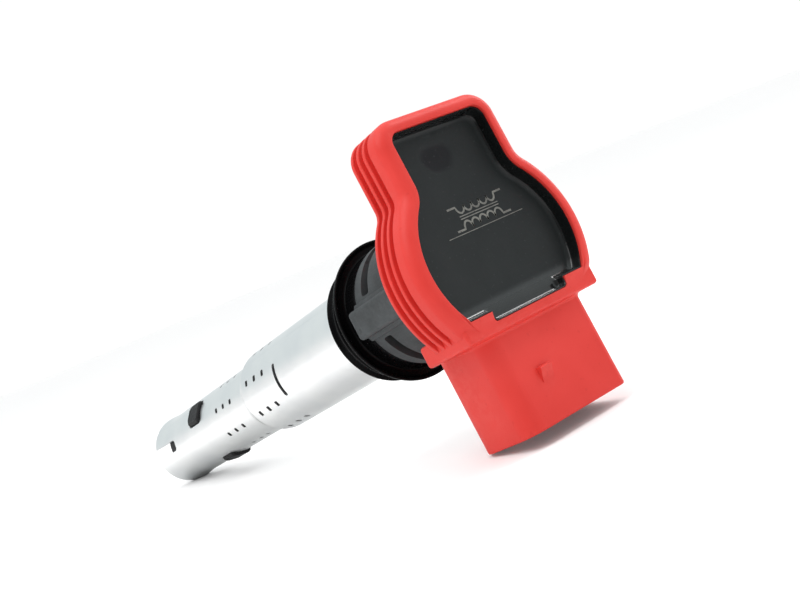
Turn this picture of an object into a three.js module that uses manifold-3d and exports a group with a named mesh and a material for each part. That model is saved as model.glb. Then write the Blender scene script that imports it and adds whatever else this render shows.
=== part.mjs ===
// Pencil-type ignition coil with its driver in the head.
// Millimetres. +Z runs up the coil's axis from the spark plug to the head, the connector points to -Y,
// and the origin lies on the axis at the mouth of the plug well, just under the well seal's lip.

import * as THREE from 'three';
import { mergeVertices } from 'three/addons/utils/BufferGeometryUtils.js';
import Module from 'manifold-3d';

// ---- driving dimensions ----
const fitGap = 0.3; // clearance between nested pieces
const roundSteps = 36; // facets round the tube
const innerSteps = 24; // facets round the pieces inside it

const head = {
  bottom: 29.8, top: 41.8, floor: 31.4, // levels of the moulding and of its cavity floor
  lobeRadius: 22.6, lobeY: -0.5, // wide round lobe above the tube
  neckHalf: 15.8, neckEnd: 31.4, neckCorner: 5.5, // narrow end opposite the connector
  waist: 3.6, // concave blend between lobe and narrow end
  outerEnd: -14.1, cavityEnd: -11.4, wall: 3.1, cavityCorner: 4.0, shoulder: 2.5,
};
const bay = { half: 10.5, end: -13.5 }; // the cavity's deeper middle, over the connector's blades
const rib = { count: 3, first: 30.8, pitch: 2.4, gap: 1.45, depth: 1.2, endY: -13.0 };
const flange = { left: -18.4, right: 19.0, yBack: -11.0, yFront: -15.6, bottom: 25.0, top: 40.8 };
const shroud = {
  left: -13.85, right: 15.0, bottom: 19.9, top: 38.6, mouthY: -36.4, socketY: -17.6, wall: 1.95,
  leftCorner: 5.0, rightCorner: 2.6,
};
const ramp = { x: -3.5, width: 3.1, backY: -25.2, length: 3.3, height: 1.2 };
const pin = { xs: [-7.5, -2.5, 2.5, 7.5], z: 29.25, thick: 0.8, width: 1.6, tipY: -30.0, riseY: -13.0 };
const resin = { bottom: 35.5, level: 37.8, rim: 40.6, rimWall: 0.5 };
const board = { bottom: 31.9, thick: 1.0, inset: 4.4, endY: -9.4 };
const neck = {
  bottom: -2.0, ringLow: 5.2, slotLow: 9.0, slotHigh: 12.0, top: 29.5, spigotTop: 31.1,
  hubRadius: 12.6, bodyRadius: 14.5, slotRadius: 12.9, spigotRadius: 12.4, bore: 11.7, mouth: 8.2, roof: 24.6,
  flatY: -10.7,
};
const boss = { inner: 12.0, outer: 16.9, half: 3.3, chamfer: 0.9, foot: 4.3, footX: 14.9, low: 5.2 };
const seal = {
  lipRadius: 16.8, hubRadius: 14.0, hubTop: 4.9, hubBottom: -9.0, lipLow: 0.3, lipHigh: 0.8,
  beadRise: 0.3, beadWidth: 0.7, ribRise: 0.7, ribHalf: 0.6, ribs: [-6.8, -4.0],
};
const sleeve = {
  top: 22.0, upper: 11.4, stepHigh: -64.9, stepLow: -69.4, lower: 9.8, tip: -135.0, wall: 0.5,
  longSlot: { centres: [177.5, 357.5], halfAngle: 22.5, low: -45.0, high: -43.8 },
  upperRows: { first: 157, levels: [-61.3, -56.3, -51.3] },
  lowerRows: { first: 161, levels: [-86.6, -81.7, -76.8] },
  rowCount: 8, rowHalfAngle: 4, rowHalfHeight: 0.65,
  notch: { centre: 170.5, halfAngle: 9.5, top: -120.5 },
};
const coilCase = {
  top: 24.3, outer: 10.6, inner: 9.8, shoulder: -61.5, base: -70.0, outlet: 4.5, outletEnd: -77.5, wall: 1.0,
  heelRadius: 8.9, heelTop: -67.6,
};
const boot = {
  outer: 9.0, top: -70.6, bottom: -126.6, socket: 4.8, chamber: 3.95, chamberTop: -78.0, bore: 5.2,
  boreTop: -92.0, entry: 6.2,
};
const lug = {
  count: 3, outer: 10.7, low: -107.0, high: -98.8, halfAngle: 19.5, centre: 141, clearAngle: 1.5,
};
const cup = { outer: 3.75, inner: 3.2, top: -90.0, roof: -91.0, bottom: -98.0 };
const spring = { radius: 2.6, wire: 0.35, top: -78.9, bottom: -89.6, turns: 6 };
const primary = {
  inner: 7.6, barrel: 8.2, flange: 9.5, wireInner: 8.3, wireLow: 9.3, wireHigh: 9.3, low: -58.0, high: 22.0,
};
const secondary = {
  inner: 4.8, barrel: 5.5, flange: 7.4, wireInner: 5.6, wireLow: 6.7, wireHigh: 7.2, low: -58.2, high: 20.8,
};
const bobbinFlange = { thick: 1.1, gap: 0.2 };
const core = { radius: 4.45, strips: 8, low: -52.0, high: 13.5, narrowest: 1.1 };
const magnet = { radius: 4.4, thick: 3.0 };
const buffer = { radius: 4.3, upper: [16.9, 19.4], lower: [-57.8, -55.4] };
const lead = { inner: 6.6, thick: 0.5, foot: 9.0, low: 22.3, halfWidth: 0.8 };
const hvCap = {
  radius: 5.2, shoulder: 3.2, bore: 2.75, top: -60.4, rim: -61.2, neck: -63.6, floor: -65.4, bottom: -74.0,
};
const resistor = { body: 2.15, end: 2.4, tip: 1.9, top: -65.6, bottom: -78.5, capHeight: 1.6, bevel: 0.3 };
const spreader = { x: [-6, 6], y: [12, 24], thick: 0.6 };
const transistor = { x: [-4, 4], y: [13.5, 22], thick: 1.7 };
const capacitor = { x: [9, 13], y: [-3, 2], thick: 2.0 };

const finish = {
  redPlastic: { color: 0xe0423c, roughness: 0.42, metalness: 0 },
  castResin: { color: 0x2f3232, roughness: 0.3, metalness: 0 },
  greyPlastic: { color: 0x44494b, roughness: 0.6, metalness: 0 },
  blackRubber: { color: 0x0c0c0d, roughness: 0.5, metalness: 0 },
  brightSteel: { color: 0xd9dcde, roughness: 0.28, metalness: 1 },
  tinnedBrass: { color: 0xc9c3ae, roughness: 0.3, metalness: 1 },
  copper: { color: 0xb4622f, roughness: 0.35, metalness: 1 },
  blackPlastic: { color: 0x1b1c1e, roughness: 0.5, metalness: 0 },
  naturalPlastic: { color: 0xcfc8b4, roughness: 0.55, metalness: 0 },
  iron: { color: 0x5d5f63, roughness: 0.5, metalness: 1 },
  magnet: { color: 0x2c2e31, roughness: 0.55, metalness: 0.6 },
  padRubber: { color: 0x6b4038, roughness: 0.8, metalness: 0 },
  ceramic: { color: 0xe9e5da, roughness: 0.4, metalness: 0 },
  circuitBoard: { color: 0x1f5b3a, roughness: 0.45, metalness: 0 },
};

// ---- solids ----
const wasm = await Module();
wasm.setup();

function toSolid(geometry) {
  const bare = geometry.clone();
  bare.deleteAttribute('normal');
  bare.deleteAttribute('uv');
  const merged = mergeVertices(bare, 1e-4);
  const corners = merged.index.array;
  const kept = [];
  for (let i = 0; i < corners.length; i += 3) {
    const [a, b, c] = corners.slice(i, i + 3);
    if (a !== b && b !== c && c !== a) kept.push(a, b, c);
  }
  return new wasm.Manifold(new wasm.Mesh({
    numProp: 3,
    vertProperties: new Float32Array(merged.attributes.position.array),
    triVerts: new Uint32Array(kept),
  }));
}

function toGeometry(solid) {
  const mesh = solid.getMesh();
  const geometry = new THREE.BufferGeometry();
  geometry.setAttribute('position', new THREE.BufferAttribute(mesh.vertProperties, 3));
  geometry.setIndex(new THREE.BufferAttribute(mesh.triVerts, 1));
  return geometry;
}

const joinAll = (solids) => solids.reduce((whole, piece) => whole.add(piece));
const cutAll = (base, tools) => tools.reduce((rest, tool) => rest.subtract(tool), base);
const radians = THREE.MathUtils.degToRad;

function boxBetween(low, high) {
  const size = high.map((value, axis) => value - low[axis]);
  const box = new THREE.BoxGeometry(...size);
  box.translate(...low.map((value, axis) => value + size[axis] / 2));
  return box;
}

function prism(shape, zLow, zHigh, curveSegments = 3) {
  const solid = new THREE.ExtrudeGeometry(shape, { depth: zHigh - zLow, bevelEnabled: false, curveSegments });
  solid.translate(0, 0, zLow);
  return solid;
}

// profile: [radius, z] pairs, closed on itself or ending on the axis, running up the outside
function turned(profile, steps = innerSteps) {
  const points = profile.map(([radius, z]) => new THREE.Vector2(radius, z));
  const solid = new THREE.LatheGeometry(points, steps);
  solid.rotateX(Math.PI / 2);
  return solid;
}

function polygon(corners) {
  return new THREE.Shape(corners.map(([x, y]) => new THREE.Vector2(x, y)));
}

// part of a ring seen from above, angles in degrees
function sector(inner, outer, from, to) {
  const shape = new THREE.Shape();
  shape.absarc(0, 0, outer, radians(from), radians(to), false);
  shape.absarc(0, 0, inner, radians(to), radians(from), true);
  shape.closePath();
  return shape;
}

// ---- head ----
// Outline of the head seen from above: a lobe, a concave waist each side and a narrow end.
function headOutline(inset, corner, endY) {
  const radius = head.lobeRadius - inset;
  const half = head.neckHalf - inset;
  const end = head.neckEnd - inset;
  const waist = head.waist + inset;
  const waistX = half + waist;
  const waistY = head.lobeY + Math.sqrt((radius + waist) ** 2 - waistX ** 2);
  const meet = Math.atan2(waistY - head.lobeY, waistX);
  const start = Math.asin((endY - head.lobeY) / radius);
  const shape = new THREE.Shape();
  shape.absarc(0, head.lobeY, radius, start, meet, false);
  shape.absarc(waistX, waistY, waist, Math.PI + meet, Math.PI, true);
  shape.absarc(half - corner, end - corner, corner, 0, Math.PI / 2, false);
  shape.absarc(corner - half, end - corner, corner, Math.PI / 2, Math.PI, false);
  shape.absarc(-waistX, waistY, waist, 0, -meet, true);
  shape.absarc(0, head.lobeY, radius, Math.PI - meet, Math.PI - start, false);
  shape.closePath();
  return shape;
}

// The connector's section in X and Z, drawn in by inset: rounder corners on its left than on its right.
function shroudSection(inset) {
  const { left, right, bottom, top } = shroud;
  const onLeft = shroud.leftCorner - inset;
  const onRight = shroud.rightCorner - inset;
  const leftX = left + shroud.leftCorner;
  const rightX = right - shroud.rightCorner;
  const shape = new THREE.Shape();
  shape.absarc(rightX, top - shroud.rightCorner, onRight, 0, Math.PI / 2, false);
  shape.absarc(leftX, top - shroud.leftCorner, onLeft, Math.PI / 2, Math.PI, false);
  shape.absarc(leftX, bottom + shroud.leftCorner, onLeft, Math.PI, Math.PI * 1.5, false);
  shape.absarc(rightX, bottom + shroud.rightCorner, onRight, Math.PI * 1.5, Math.PI * 2, false);
  shape.closePath();
  return shape;
}

// a prism along Y whose section is drawn in X and Z
function prismAlongY(shape, yLow, yHigh) {
  const solid = prism(shape, 0, yHigh - yLow, 3);
  solid.rotateX(Math.PI / 2);
  solid.translate(0, yHigh, 0);
  return solid;
}

// a prism along X whose section is drawn in Y and Z
function prismAlongX(shape, xLow, xHigh) {
  const solid = prism(shape, 0, xHigh - xLow);
  solid.rotateX(Math.PI / 2);
  solid.rotateZ(Math.PI / 2);
  solid.translate(xLow, 0, 0);
  return solid;
}

// the cavity seen from above, with its bay, from one level to another
function cavitySolid(inset, corner, low, high) {
  const main = prism(headOutline(head.wall + inset, corner, head.cavityEnd + inset), low, high);
  const middle = boxBetween(
    [inset - bay.half, bay.end + inset, low], [bay.half - inset, head.cavityEnd + inset + 1, high]);
  return toSolid(main).add(toSolid(middle));
}

function headHousing() {
  const body = new THREE.ExtrudeGeometry(headOutline(0, head.neckCorner, head.outerEnd - 1), {
    depth: head.top - head.bottom, curveSegments: 3, bevelSegments: 4,
    bevelThickness: head.shoulder, bevelSize: head.shoulder, bevelOffset: -head.shoulder,
  });
  body.translate(0, 0, head.bottom - head.shoulder);
  const plate = boxBetween(
    [flange.left, flange.yFront, flange.bottom], [flange.right, flange.yBack, flange.top]);
  const shell = prismAlongY(shroudSection(0), shroud.mouthY, flange.yFront + 0.5);
  const lock = prismAlongX(polygon([
    [ramp.backY, shroud.top - 0.4], [ramp.backY, shroud.top + ramp.height],
    [ramp.backY - ramp.length, shroud.top], [ramp.backY - ramp.length, shroud.top - 0.4],
  ]), ramp.x - ramp.width / 2, ramp.x + ramp.width / 2);

  const underside = boxBetween([-30, -30, head.bottom - 10], [30, 40, head.bottom]);
  const behind = boxBetween([-30, -30, head.bottom - 10], [30, head.outerEnd, 60]);
  const trimmed = cutAll(toSolid(body), [toSolid(underside), toSolid(behind)]);

  const grooves = [];
  for (let i = 0; i < rib.count; i += 1) {
    const low = rib.first + i * rib.pitch;
    const outer = headOutline(-2, head.neckCorner + 2, rib.endY - 3);
    const inner = headOutline(rib.depth, head.neckCorner - rib.depth, rib.endY - 2);
    outer.holes.push(new THREE.Path(inner.getPoints(3)));
    const around = boxBetween([-40, rib.endY, low - 1], [40, 40, low + rib.gap + 1]);
    grooves.push(toSolid(prism(outer, low, low + rib.gap)).intersect(toSolid(around)));
  }
  const spigotHole = turned([[0, head.bottom - 1], [neck.spigotRadius + fitGap, head.bottom - 1],
    [neck.spigotRadius + fitGap, head.floor + 0.5], [0, head.floor + 0.5]]);
  const socket = prismAlongY(shroudSection(shroud.wall), shroud.mouthY - 1, shroud.socketY);
  const slots = pin.xs.map((x) => {
    const half = pin.width / 2 + fitGap;
    const low = pin.z - pin.thick / 2 - fitGap;
    const level = boxBetween([x - half, shroud.socketY - 0.5, low], [x + half, pin.riseY + 1, low + 1.4]);
    const rise = boxBetween(
      [x - half, pin.riseY - fitGap, low], [x + half, pin.riseY + 1.1, head.floor + 0.5]);
    return toSolid(level).add(toSolid(rise));
  });
  const whole = joinAll([cutAll(trimmed, grooves), toSolid(plate), toSolid(shell), toSolid(lock)]);
  const cavity = cavitySolid(0, head.cavityCorner, head.floor, head.top + 1);
  return toGeometry(cutAll(whole, [cavity, toSolid(spigotHole), toSolid(socket), ...slots]));
}

function resinCover() {
  const block = cavitySolid(fitGap, head.cavityCorner - fitGap, resin.bottom, resin.rim);
  const inset = fitGap + resin.rimWall;
  const dish = cavitySolid(inset, head.cavityCorner - inset, resin.level, resin.rim + 1);
  return toGeometry(block.subtract(dish));
}

// blade in the socket that steps up through the wall onto the board
function terminalPin(x) {
  const low = pin.z - pin.thick / 2;
  const high = pin.z + pin.thick / 2;
  const seat = board.bottom + board.thick + 0.1;
  const section = polygon([
    [pin.tipY + 1, low], [pin.riseY + pin.thick, low], [pin.riseY + pin.thick, seat],
    [board.endY + 1.6, seat], [board.endY + 1.6, seat + 0.6], [pin.riseY, seat + 0.6],
    [pin.riseY, high], [pin.tipY + 1, high], [pin.tipY, pin.z + 0.15], [pin.tipY, pin.z - 0.15],
  ]);
  return prismAlongX(section, x - pin.width / 2, x + pin.width / 2);
}

function driverBoard() {
  return prism(headOutline(board.inset, head.cavityCorner - 1, board.endY), board.bottom,
    board.bottom + board.thick);
}

// ---- neck and seal ----
function neckBody() {
  const body = turned([
    [neck.bore, neck.bottom], [neck.hubRadius, neck.bottom], [neck.hubRadius, neck.ringLow],
    [neck.bodyRadius - 0.8, neck.ringLow], [neck.bodyRadius, neck.ringLow + 1],
    [neck.bodyRadius, neck.top], [neck.spigotRadius, neck.top], [neck.spigotRadius, neck.spigotTop],
    [neck.mouth, neck.spigotTop], [neck.mouth, neck.roof], [neck.bore, neck.roof], [neck.bore, neck.bottom],
  ], roundSteps);
  const bosses = [0, Math.PI].map((turn) => {
    const section = polygon([
      [boss.inner, -boss.foot], [boss.footX - 0.4, -boss.foot], [boss.footX, -boss.half],
      [boss.outer - boss.chamfer, -boss.half], [boss.outer, -boss.half + boss.chamfer],
      [boss.outer, boss.half - boss.chamfer], [boss.outer - boss.chamfer, boss.half],
      [boss.footX, boss.half], [boss.footX - 0.4, boss.foot], [boss.inner, boss.foot],
    ]);
    const bar = prism(section, boss.low, neck.top);
    bar.rotateZ(turn);
    return toSolid(bar).subtract(toSolid(turned([[0, boss.low - 1], [neck.hubRadius, boss.low - 1],
      [neck.hubRadius, neck.top + 1], [0, neck.top + 1]], roundSteps)));
  });
  const slots = [[20, 72], [108, 160], [200, 252], [288, 340]].map(([from, to]) => toSolid(
    prism(sector(neck.slotRadius, neck.bodyRadius + 1, from, to), neck.slotLow, neck.slotHigh)));
  const flat = boxBetween([-30, -30, flange.bottom - fitGap], [30, neck.flatY, neck.spigotTop + 1]);
  return toGeometry(cutAll(joinAll([toSolid(body), ...bosses]), [...slots, toSolid(flat)]));
}

function wellSeal() {
  const clear = neck.hubRadius + fitGap;
  const inner = sleeve.upper + fitGap;
  const hub = seal.hubRadius;
  const ribs = seal.ribs.flatMap((z) => [
    [hub, z - seal.ribHalf], [hub + seal.ribRise, z], [hub, z + seal.ribHalf]]);
  const beadTop = seal.lipHigh + seal.beadRise;
  const beadInner = seal.lipRadius - seal.beadWidth;
  return turned([
    [inner, seal.hubBottom], [hub - 0.6, seal.hubBottom], [hub, seal.hubBottom + 0.8], ...ribs,
    [hub, seal.lipLow], [seal.lipRadius, seal.lipLow], [seal.lipRadius, beadTop], [beadInner, beadTop],
    [beadInner - 0.2, seal.lipHigh], [hub, seal.lipHigh], [hub, seal.hubTop], [clear, seal.hubTop],
    [clear, neck.bottom - fitGap], [inner, neck.bottom - fitGap], [inner, seal.hubBottom],
  ], roundSteps);
}

// ---- sleeve and boot ----
function shieldSleeve() {
  const inner = (radius) => radius - sleeve.wall;
  const body = turned([
    [inner(sleeve.lower), sleeve.tip], [sleeve.lower, sleeve.tip], [sleeve.lower, sleeve.stepLow],
    [sleeve.upper - 0.35, sleeve.stepHigh - 1.2], [sleeve.upper, sleeve.stepHigh], [sleeve.upper, sleeve.top],
    [inner(sleeve.upper), sleeve.top], [inner(sleeve.upper), sleeve.stepHigh],
    [inner(sleeve.upper) - 0.35, sleeve.stepHigh - 1.2], [inner(sleeve.lower), sleeve.stepLow],
    [inner(sleeve.lower), sleeve.tip],
  ], roundSteps);
  const punch = (radius, centre, halfAngle, low, high) => toSolid(
    prism(sector(radius - 1.5, radius + 1, centre - halfAngle, centre + halfAngle), low, high, 2));
  const { longSlot, notch } = sleeve;
  const holes = longSlot.centres.map(
    (centre) => punch(sleeve.upper, centre, longSlot.halfAngle, longSlot.low, longSlot.high));
  for (const [radius, rows] of [[sleeve.upper, sleeve.upperRows], [sleeve.lower, sleeve.lowerRows]]) {
    for (let step = 0; step < sleeve.rowCount; step += 1) {
      const centre = rows.first + (360 / sleeve.rowCount) * step;
      for (const z of rows.levels) {
        const half = sleeve.rowHalfHeight;
        holes.push(punch(radius, centre, sleeve.rowHalfAngle, z - half, z + half));
      }
    }
  }
  for (let i = 0; i < lug.count; i += 1) {
    const turn = (360 / lug.count) * i;
    const window = lug.halfAngle + lug.clearAngle;
    holes.push(punch(sleeve.lower, lug.centre + turn, window, lug.low - fitGap, lug.high + fitGap));
    holes.push(punch(sleeve.lower, notch.centre + turn, notch.halfAngle, sleeve.tip - 1, notch.top));
  }
  return toGeometry(cutAll(toSolid(body), holes));
}

function plugBoot() {
  const body = turned([
    [boot.entry, boot.bottom], [boot.outer - 0.6, boot.bottom], [boot.outer, boot.bottom + 0.6],
    [boot.outer, boot.top], [boot.socket, boot.top], [boot.socket, boot.chamberTop],
    [boot.chamber, boot.chamberTop], [boot.chamber, boot.boreTop], [boot.bore, boot.boreTop - 1.2],
    [boot.bore, boot.bottom + 2], [boot.entry, boot.bottom],
  ], roundSteps);
  const lugs = Array.from({ length: lug.count }, (_, i) => {
    const centre = lug.centre + (360 / lug.count) * i;
    const outline = sector(boot.outer - 1.5, lug.outer, centre - lug.halfAngle, centre + lug.halfAngle);
    return toSolid(prism(outline, lug.low, lug.high, 3));
  });
  return toGeometry(joinAll([toSolid(body), ...lugs]));
}

// ---- windings ----
function coilCaseShell() {
  const c = coilCase;
  const outletInner = c.outlet - c.wall;
  return turned([
    [outletInner, c.outletEnd], [c.outlet, c.outletEnd], [c.outlet, c.base], [c.heelRadius, c.base],
    [c.heelRadius, c.heelTop], [c.outer, c.shoulder], [c.outer, c.top], [c.inner, c.top],
    [c.inner, c.shoulder + c.wall], [outletInner, c.base + 4 * c.wall], [outletInner, c.outletEnd],
  ], roundSteps);
}

function spool({ inner, barrel, flange: rim, low, high }) {
  const lowEdge = low + bobbinFlange.thick;
  const highEdge = high - bobbinFlange.thick;
  return turned([
    [inner, low], [rim, low], [rim, lowEdge], [barrel, lowEdge], [barrel, highEdge], [rim, highEdge],
    [rim, high], [inner, high], [inner, low],
  ]);
}

// wire wound between a bobbin's flanges, of its own radius at the bottom and at the top
function winding({ wireInner, wireLow, wireHigh, low, high }) {
  const first = low + bobbinFlange.thick + bobbinFlange.gap;
  const last = high - bobbinFlange.thick - bobbinFlange.gap;
  return turned([
    [wireInner, first], [wireLow, first], [wireHigh, last], [wireInner, last], [wireInner, first],
  ]);
}

// round stack of iron strips: the strips' widths follow the circle
function coreStack() {
  const { radius, strips } = core;
  const pitch = (2 * radius) / strips;
  const right = [];
  for (let i = 0; i < strips; i += 1) {
    const edge = Math.max(Math.abs(i - strips / 2), Math.abs(i + 1 - strips / 2)) * pitch;
    const half = Math.max(Math.sqrt(radius ** 2 - edge ** 2), core.narrowest);
    right.push([half, -radius + i * pitch], [half, -radius + (i + 1) * pitch]);
  }
  const left = right.map(([x, y]) => [-x, y]).reverse();
  return prism(polygon([...right, ...left]), core.low, core.high);
}

function roundPad(radius, low, high, bevel = 0.3) {
  return turned([
    [0, low], [radius - bevel, low], [radius, low + bevel], [radius, high - bevel], [radius - bevel, high],
    [0, high],
  ]);
}

function primaryLead(side) {
  const outer = lead.inner + lead.thick;
  const top = board.bottom - 0.1;
  const strip = prismAlongY(polygon([
    [lead.inner, lead.low], [lead.foot, lead.low], [lead.foot, lead.low + lead.thick],
    [outer, lead.low + lead.thick], [outer, top], [lead.inner, top],
  ]), -lead.halfWidth, lead.halfWidth);
  if (side < 0) strip.rotateZ(Math.PI);
  return strip;
}

// ---- high-voltage contact ----
function hvTerminal() {
  const c = hvCap;
  return turned([
    [0, c.floor], [c.bore, c.floor], [c.bore, c.bottom], [c.shoulder, c.bottom], [c.shoulder, c.neck],
    [c.radius, c.rim], [c.radius, c.top], [0, c.top],
  ]);
}

function suppressorResistor() {
  const { body, end, tip, bottom, top, capHeight, bevel } = resistor;
  const lowCap = bottom + capHeight;
  const highCap = top - capHeight;
  return turned([
    [0, bottom], [tip, bottom], [end, bottom + bevel], [end, lowCap], [body, lowCap + bevel],
    [body, highCap - bevel], [end, highCap], [end, top], [0, top],
  ]);
}

function contactSpring() {
  const wirePath = new THREE.Curve();
  const height = spring.top - spring.bottom - 2 * spring.wire;
  wirePath.getPoint = (t, target = new THREE.Vector3()) => {
    const angle = 2 * Math.PI * spring.turns * t;
    return target.set(spring.radius * Math.cos(angle), spring.radius * Math.sin(angle),
      spring.bottom + spring.wire + height * t);
  };
  const section = new THREE.Shape();
  section.absarc(0, 0, spring.wire, 0, Math.PI * 2, false);
  return new THREE.ExtrudeGeometry(section, {
    steps: spring.turns * 12, extrudePath: wirePath, curveSegments: 3, bevelEnabled: false,
  });
}

function contactCup() {
  return turned([
    [cup.inner, cup.bottom], [cup.outer, cup.bottom], [cup.outer, cup.top], [1.6, cup.top],
    [0, cup.top + 0.2], [0, cup.roof], [cup.inner, cup.roof], [cup.inner, cup.bottom],
  ]);
}

// ---- assembly ----
const coil = new THREE.Group();

function place(name, geometry, look) {
  const mesh = new THREE.Mesh(geometry, new THREE.MeshStandardMaterial(look));
  mesh.name = name;
  coil.add(mesh);
}

place('head_housing', headHousing(), finish.redPlastic);
place('resin_cover', resinCover(), finish.castResin);
pin.xs.forEach((x, i) => place(`terminal_pin_${i + 1}`, terminalPin(x), finish.tinnedBrass));
place('driver_board', driverBoard(), finish.circuitBoard);
const boardTop = board.bottom + board.thick;
const chip = ({ x, y, thick }, low) => boxBetween([x[0], y[0], low], [x[1], y[1], low + thick]);
place('heat_spreader', chip(spreader, boardTop), finish.copper);
place('power_transistor', chip(transistor, boardTop + spreader.thick), finish.blackPlastic);
place('smoothing_capacitor', chip(capacitor, boardTop), finish.naturalPlastic);
place('neck_body', neckBody(), finish.greyPlastic);
place('well_seal', wellSeal(), finish.blackRubber);
place('shield_sleeve', shieldSleeve(), finish.brightSteel);
place('coil_case', coilCaseShell(), finish.blackPlastic);
place('primary_bobbin', spool(primary), finish.naturalPlastic);
place('primary_winding', winding(primary), finish.copper);
place('secondary_bobbin', spool(secondary), finish.naturalPlastic);
place('secondary_winding', winding(secondary), finish.copper);
place('core_stack', coreStack(), finish.iron);
const upperMagnet = core.high + 0.2;
const lowerMagnet = core.low - 0.2;
place('magnet_upper', roundPad(magnet.radius, upperMagnet, upperMagnet + magnet.thick), finish.magnet);
place('magnet_lower', roundPad(magnet.radius, lowerMagnet - magnet.thick, lowerMagnet), finish.magnet);
place('core_buffer_upper', roundPad(buffer.radius, ...buffer.upper), finish.padRubber);
place('core_buffer_lower', roundPad(buffer.radius, ...buffer.lower), finish.padRubber);
place('lead_supply', primaryLead(1), finish.tinnedBrass);
place('lead_switched', primaryLead(-1), finish.tinnedBrass);
place('hv_terminal', hvTerminal(), finish.tinnedBrass);
place('suppressor_resistor', suppressorResistor(), finish.ceramic);
place('plug_boot', plugBoot(), finish.blackRubber);
place('contact_spring', contactSpring(), finish.brightSteel);
place('contact_cup', contactCup(), finish.tinnedBrass);

export default coil;
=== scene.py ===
import math

import bmesh
import bpy
from mathutils import Matrix, Vector, noise
from mathutils.geometry import delaunay_2d_cdt


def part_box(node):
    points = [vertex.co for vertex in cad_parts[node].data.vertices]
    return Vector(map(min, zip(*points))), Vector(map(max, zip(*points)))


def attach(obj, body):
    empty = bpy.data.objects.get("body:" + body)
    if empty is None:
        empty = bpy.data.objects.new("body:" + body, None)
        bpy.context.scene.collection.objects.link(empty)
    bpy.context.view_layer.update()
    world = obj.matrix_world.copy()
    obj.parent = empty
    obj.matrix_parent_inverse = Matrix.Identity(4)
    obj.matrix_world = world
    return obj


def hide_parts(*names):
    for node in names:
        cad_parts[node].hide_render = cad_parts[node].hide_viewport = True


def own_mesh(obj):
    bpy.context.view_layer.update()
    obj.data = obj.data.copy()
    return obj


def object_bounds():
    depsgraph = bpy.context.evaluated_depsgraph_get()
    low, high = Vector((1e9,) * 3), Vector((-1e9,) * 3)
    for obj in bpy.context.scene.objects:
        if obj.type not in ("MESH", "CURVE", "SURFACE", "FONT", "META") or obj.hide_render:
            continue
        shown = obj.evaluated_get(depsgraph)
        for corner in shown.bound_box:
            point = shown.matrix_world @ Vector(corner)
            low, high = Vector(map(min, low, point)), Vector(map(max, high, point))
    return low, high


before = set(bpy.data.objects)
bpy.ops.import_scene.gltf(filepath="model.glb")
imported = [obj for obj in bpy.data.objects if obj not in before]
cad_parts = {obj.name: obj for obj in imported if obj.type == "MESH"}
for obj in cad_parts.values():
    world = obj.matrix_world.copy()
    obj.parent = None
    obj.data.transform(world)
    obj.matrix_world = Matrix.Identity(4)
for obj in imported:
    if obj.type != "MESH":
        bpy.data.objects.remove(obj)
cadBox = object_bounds()
mm = 0.001  # every shape below is worked out in millimetres


def boxMm(node):  # lowest and highest corner of a CAD node
    low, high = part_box(node)
    return low / mm, high / mm


def smoothStep(value, start, end):
    t = min(max((value - start) / (end - start), 0), 1)
    return t * t * (3 - 2 * t)


def mixed(a, b, t):
    return a + (b - a) * t


def rounded(corners, steps=5):
    # closed outline from corners (x, y, radius), each corner of some radius turned into an arc
    points = []
    for i, (x, y, radius) in enumerate(corners):
        here = Vector((x, y))
        if radius <= 0:
            points.append((x, y))
            continue
        before = Vector(corners[i - 1][:2]) - here
        after = Vector(corners[(i + 1) % len(corners)][:2]) - here
        half = before.angle(after) / 2
        reach = min(radius / math.tan(half), before.length * 0.49, after.length * 0.49)
        radius = reach * math.tan(half)
        centre = here + (before.normalized() + after.normalized()).normalized() * radius / math.sin(half)
        first = here + before.normalized() * reach - centre
        last = here + after.normalized() * reach - centre
        start = math.atan2(first.y, first.x)
        sweep = (math.atan2(last.y, last.x) - start + math.pi) % (2 * math.pi) - math.pi
        for step in range(steps + 1):
            angle = start + sweep * step / steps
            points.append((centre.x + radius * math.cos(angle), centre.y + radius * math.sin(angle)))
    return points


def newPiece(name, points, faces):
    mesh = bpy.data.meshes.new(name)
    mesh.from_pydata([[value * mm for value in point] for point in points], [], faces)
    piece = bpy.data.objects.new(name, mesh)
    bpy.context.scene.collection.objects.link(piece)
    tidyMesh(piece)
    return piece


def tidyMesh(piece):  # joins doubled points and turns every face outwards
    work = bmesh.new()
    work.from_mesh(piece.data)
    bmesh.ops.remove_doubles(work, verts=work.verts, dist=1e-7)
    bmesh.ops.dissolve_degenerate(work, edges=work.edges, dist=1e-7)
    bmesh.ops.recalc_face_normals(work, faces=work.faces)
    work.to_mesh(piece.data)
    work.free()


def ringFaces(rings, count):
    faces = []
    for ring in range(rings - 1):
        for i in range(count):
            j = (i + 1) % count
            faces.append((ring * count + i, ring * count + j, (ring + 1) * count + j, (ring + 1) * count + i))
    return faces


def lofted(name, rings):  # a solid through rings of equal point counts, with both ends closed
    count = len(rings[0])
    faces = ringFaces(len(rings), count)
    faces.append(tuple(reversed(range(count))))
    faces.append(tuple((len(rings) - 1) * count + i for i in range(count)))
    return newPiece(name, [point for ring in rings for point in ring], faces)


def turned(name, profile, steps):  # a closed (radius, z) profile turned round the coil's axis
    count = len(profile)
    points = []
    for step in range(steps):
        angle = 2 * math.pi * step / steps
        points += [(r * math.cos(angle), r * math.sin(angle), z) for r, z in profile]
    faces = []
    for step in range(steps):
        here, after = step * count, (step + 1) % steps * count
        for i in range(count):
            j = (i + 1) % count
            faces.append((here + i, after + i, after + j, here + j))
    return newPiece(name, points, faces)


def prism(name, outline, low, high):
    return lofted(name, [[(x, y, z) for x, y in outline] for z in (low, high)])


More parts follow.
